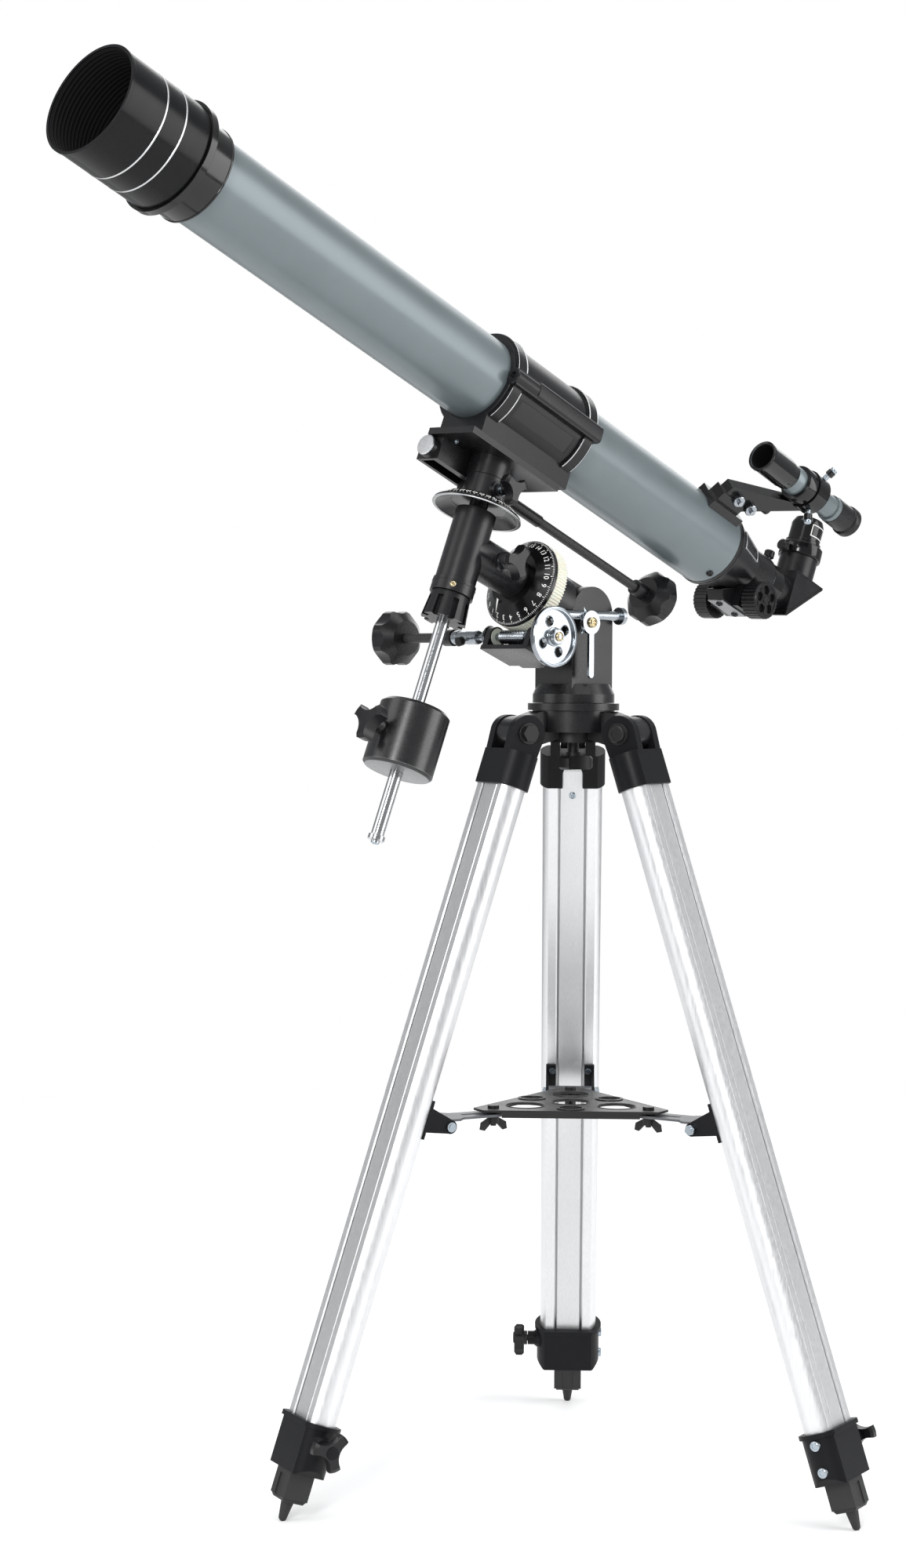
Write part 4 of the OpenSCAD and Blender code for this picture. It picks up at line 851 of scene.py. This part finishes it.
# The drawtube's clamp screw and collar
thumb = Shape()
DRAW_X = TUBE_REAR - 87.25
thumb.lathe([(0, 26.6), (4.5, 26.6), (5.0, 27.2), (5.0, 32.6), (4.4, 33.4), (0, 33.4)], at(DRAW_X, 0, 0),
            steps=32)
thumb.piece("drawtube_thumb_screw", TUBE, "drawtube", "black_plastic", plastic)
ring_on_tube("drawtube_collar", "drawtube", "black_plastic", glossy, 21.5, 0.35, DRAW_X - 7.5, DRAW_X + 7.5)

# Finder: black hood, holder sleeve and eye end, a grey band between them, thumb screws, and the foot's nuts
BARREL = FINDER @ at(0, 0, 98)
FRONT = MOUTH - 752
RING_X = -331
hood = Shape()
hood.lathe([(12.3, FRONT + 0.4), (13.9, FRONT + 0.8), (14.5, FRONT + 0.3), (14.7, FRONT - 1.5), (14.2, FRONT - 3),
            (14.2, FRONT - 34), (13.9, FRONT - 35), (13.3, FRONT - 41), (13.1, FRONT - 42.5), (10.9, FRONT - 42.5),
            (10.9, FRONT - 34.2), (13.95, FRONT - 34), (13.95, FRONT - 1), (12.3, FRONT - 0.5)],
           ALONG_X, steps=64)
hood.piece("finder_hood", BARREL, "telescope", "black_plastic", glossy)
inside = Shape()
inside.lathe([(12.1, FRONT - 0.5), (12.1, FRONT - 25.5), (0, FRONT - 25.8), (0, FRONT - 25.2), (11.8, FRONT - 25),
              (11.8, FRONT - 0.5)], ALONG_X, steps=48)
inside.piece("finder_hood_liner", BARREL, "telescope", "black_plastic", matte)
holder = Shape()
holder.lathe([(13.0, -309), (16.4, -309.2), (16.9, -310), (16.9, -322), (15.2, -323), (13.0, -323)], ALONG_X,
             steps=64)
holder.piece("finder_holder", BARREL, "telescope", "black_plastic", glossy)
band = Shape()
band.lathe([(10.9, -296.4), (12.7, -296.6), (12.9, -297), (12.9, -312), (10.9, -312)], ALONG_X, steps=64)
band.piece("finder_band", BARREL, "telescope", "tube_paint", tube_paint)
eye = Shape()
eye.lathe([(10.9, -369), (12.9, -369), (12.9, -390), (14.0, -391), (14.4, -392), (14.4, -398.2), (13.4, -399.4),
           (7.2, -399.6), (6.2, -399.1), (12.5, -399.1), (13.7, -398.8), (13.7, -391.4), (12.5, -390.8),
           (12.5, -369.4)], ALONG_X, steps=64)
eye.piece("finder_eye_end", BARREL, "telescope", "black_plastic", plastic)
clear = Shape()
for turn in (0, 120, 240):
    arm = at(RING_X, 0, 0, Matrix.Rotation(math.radians(turn), 4, "X"))
    clear.lathe([(0, 29.1), (3.2, 29.2), (3.4, 29.6), (3.4, 31.4), (3.0, 32.0), (0, 32.0)], arm, steps=24)
    clear.lathe([(2.0, 19), (2.6, 19.2), (2.6, 29), (2.0, 29.2)], arm, steps=24)
clear.piece("finder_thumb_screws", BARREL, "telescope", "black_plastic", zinc)
nuts = Shape()
for x, z in ((-268, 54), (-287, 54)):
    nuts.lathe([(0, 0), (5.4, 0), (5.8, 0.5), (5.8, 4.4), (5.2, 5.0), (2.4, 5.2), (2.4, 8.5), (0, 8.9)],
               at(x, 6.4, z, ALONG_Y), steps=24)
nuts.piece("finder_foot_nuts", FINDER, "telescope", "black_plastic", chrome)
boss = Shape()
boss.lathe([(0, -284), (4.3, -284), (5.0, -284.6), (5.0, -311), (0, -312)], at(0, 0, 61, ALONG_X), steps=32)
boss.piece("finder_foot_boss", FINDER, "telescope", "black_plastic", plastic)

# Eyepiece: a blank label in a white frame, and the eye cup's raised edge
EYEPIECE = TUBE @ at(SOCKET_X, 0, 0)
LABEL_LOW, LABEL_HIGH, LABEL_LINE = 65.5, 76.5, 0.9
LABEL_START, LABEL_SWEEP = 58, 72
LABEL_IN, LABEL_OUT = 15.7, 15.95
label = Shape()
for z in (LABEL_LOW, LABEL_HIGH):
    label.lathe([(LABEL_IN, z), (LABEL_OUT, z), (LABEL_OUT, z + LABEL_LINE), (LABEL_IN, z + LABEL_LINE)], steps=48,
                start=LABEL_START, sweep=LABEL_SWEEP)
for turn in (LABEL_START, LABEL_START + LABEL_SWEEP):
    label.box((LABEL_IN, -LABEL_LINE / 2, LABEL_LOW), (LABEL_OUT, LABEL_LINE / 2, LABEL_HIGH + LABEL_LINE),
              Matrix.Rotation(math.radians(turn), 4, "Z"))
label.piece("eyepiece_label", EYEPIECE, "eyepiece", "bright_steel", dial_white)
cup = Shape()
cup.lathe([(7.2, 83.0), (13.2, 83.6), (14.0, 84.1), (14.3, 83.4), (15.9, 79.0), (15.9, 78.2), (7.2, 80.0)],
          steps=64)
cup.piece("eyepiece_cup", EYEPIECE, "eyepiece", "black_plastic", glossy)


# ---- Camera, floor and light ----

def area_light(name, place, aim, size, power):
    data = bpy.data.lights.new(name, "AREA")
    data.shape = "RECTANGLE"
    data.size, data.size_y = size
    data.energy = power
    lamp = bpy.data.objects.new(name, data)
    lamp.location = TRIPOD + Vector(place)
    lamp.rotation_euler = (Vector(aim) - Vector(place)).to_track_quat("-Z", "Y").to_euler()
    bpy.context.scene.collection.objects.link(lamp)


camera_data = bpy.data.cameras.new("camera")
camera_data.sensor_width = 36
camera_data.lens = 65.6
camera = bpy.data.objects.new("camera", camera_data)
camera.location = TRIPOD + Vector((-0.0116, -2.506, 0.706))
PITCH_DOWN, ROLL, YAW = 2.09, -0.32, 2.15
camera.rotation_euler = (math.radians(90 - PITCH_DOWN), math.radians(ROLL), math.radians(YAW))
bpy.context.scene.collection.objects.link(camera)
bpy.context.scene.camera = camera

FLOOR_R = 2.4
floor_mesh = bpy.data.meshes.new("floor")
floor_form = bmesh.new()
bmesh.ops.create_circle(floor_form, cap_ends=True, segments=128, radius=FLOOR_R)
floor_form.to_mesh(floor_mesh)
floor_form.free()
floor = bpy.data.objects.new("floor", floor_mesh)
floor.location = (TRIPOD.x, TRIPOD.y, -0.0002)
bpy.context.scene.collection.objects.link(floor)
paper = Nodes("floor_paper")
tone = paper.mix(paper.spread(paper.noise(1.5, 2.0), 0.0, 1.0), (0.90, 0.90, 0.90), (0.92, 0.92, 0.92))
shine = paper.spread(paper.noise(40.0, 2.0), 0.75, 0.85)
tooth = paper.bump(paper.noise(300.0, 2.0), 0.1, 0.0001)
floor_mesh.materials.append(paper.finish(tone, shine, tooth, specular=0.2))
paper.shader.inputs["Emission Color"].default_value = (1, 1, 1, 1)
paper.shader.inputs["Emission Strength"].default_value = 0.1

world = bpy.data.worlds.new("studio")
bpy.context.scene.world = world
world.use_nodes = True
tree = world.node_tree
tree.nodes.clear()
seen = tree.nodes.new("ShaderNodeBackground")
seen.inputs["Color"].default_value = (1, 1, 1, 1)
seen.inputs["Strength"].default_value = 1.0
fill = tree.nodes.new("ShaderNodeBackground")
fill.inputs["Color"].default_value = (0.96, 0.98, 1.0, 1)
fill.inputs["Strength"].default_value = 0.42
path = tree.nodes.new("ShaderNodeLightPath")
both = tree.nodes.new("ShaderNodeMixShader")
tree.links.new(path.outputs["Is Camera Ray"], both.inputs[0])
tree.links.new(fill.outputs[0], both.inputs[1])
tree.links.new(seen.outputs[0], both.inputs[2])
tree.links.new(both.outputs[0], tree.nodes.new("ShaderNodeOutputWorld").inputs[0])
bpy.context.scene.view_settings.view_transform = "Standard"
bpy.context.scene.view_settings.look = "None"

area_light("left_box", (-2.6, -0.9, 1.5), (0, 0, 0.7), (1.6, 2.6), 25)
area_light("right_box", (2.6, -0.6, 1.3), (0, 0, 0.6), (1.6, 2.6), 50)
area_light("top_box", (0.2, -0.6, 3.0), (0, 0, 0.6), (2.6, 2.2), 44)
area_light("front_box", (-1.1, -3.6, 2.0), (0, 0, 0.7), (0.7, 1.5), 88)
area_light("back_box", (0.3, 3.0, 1.8), (0, 0, 0.7), (3.0, 2.4), 34)
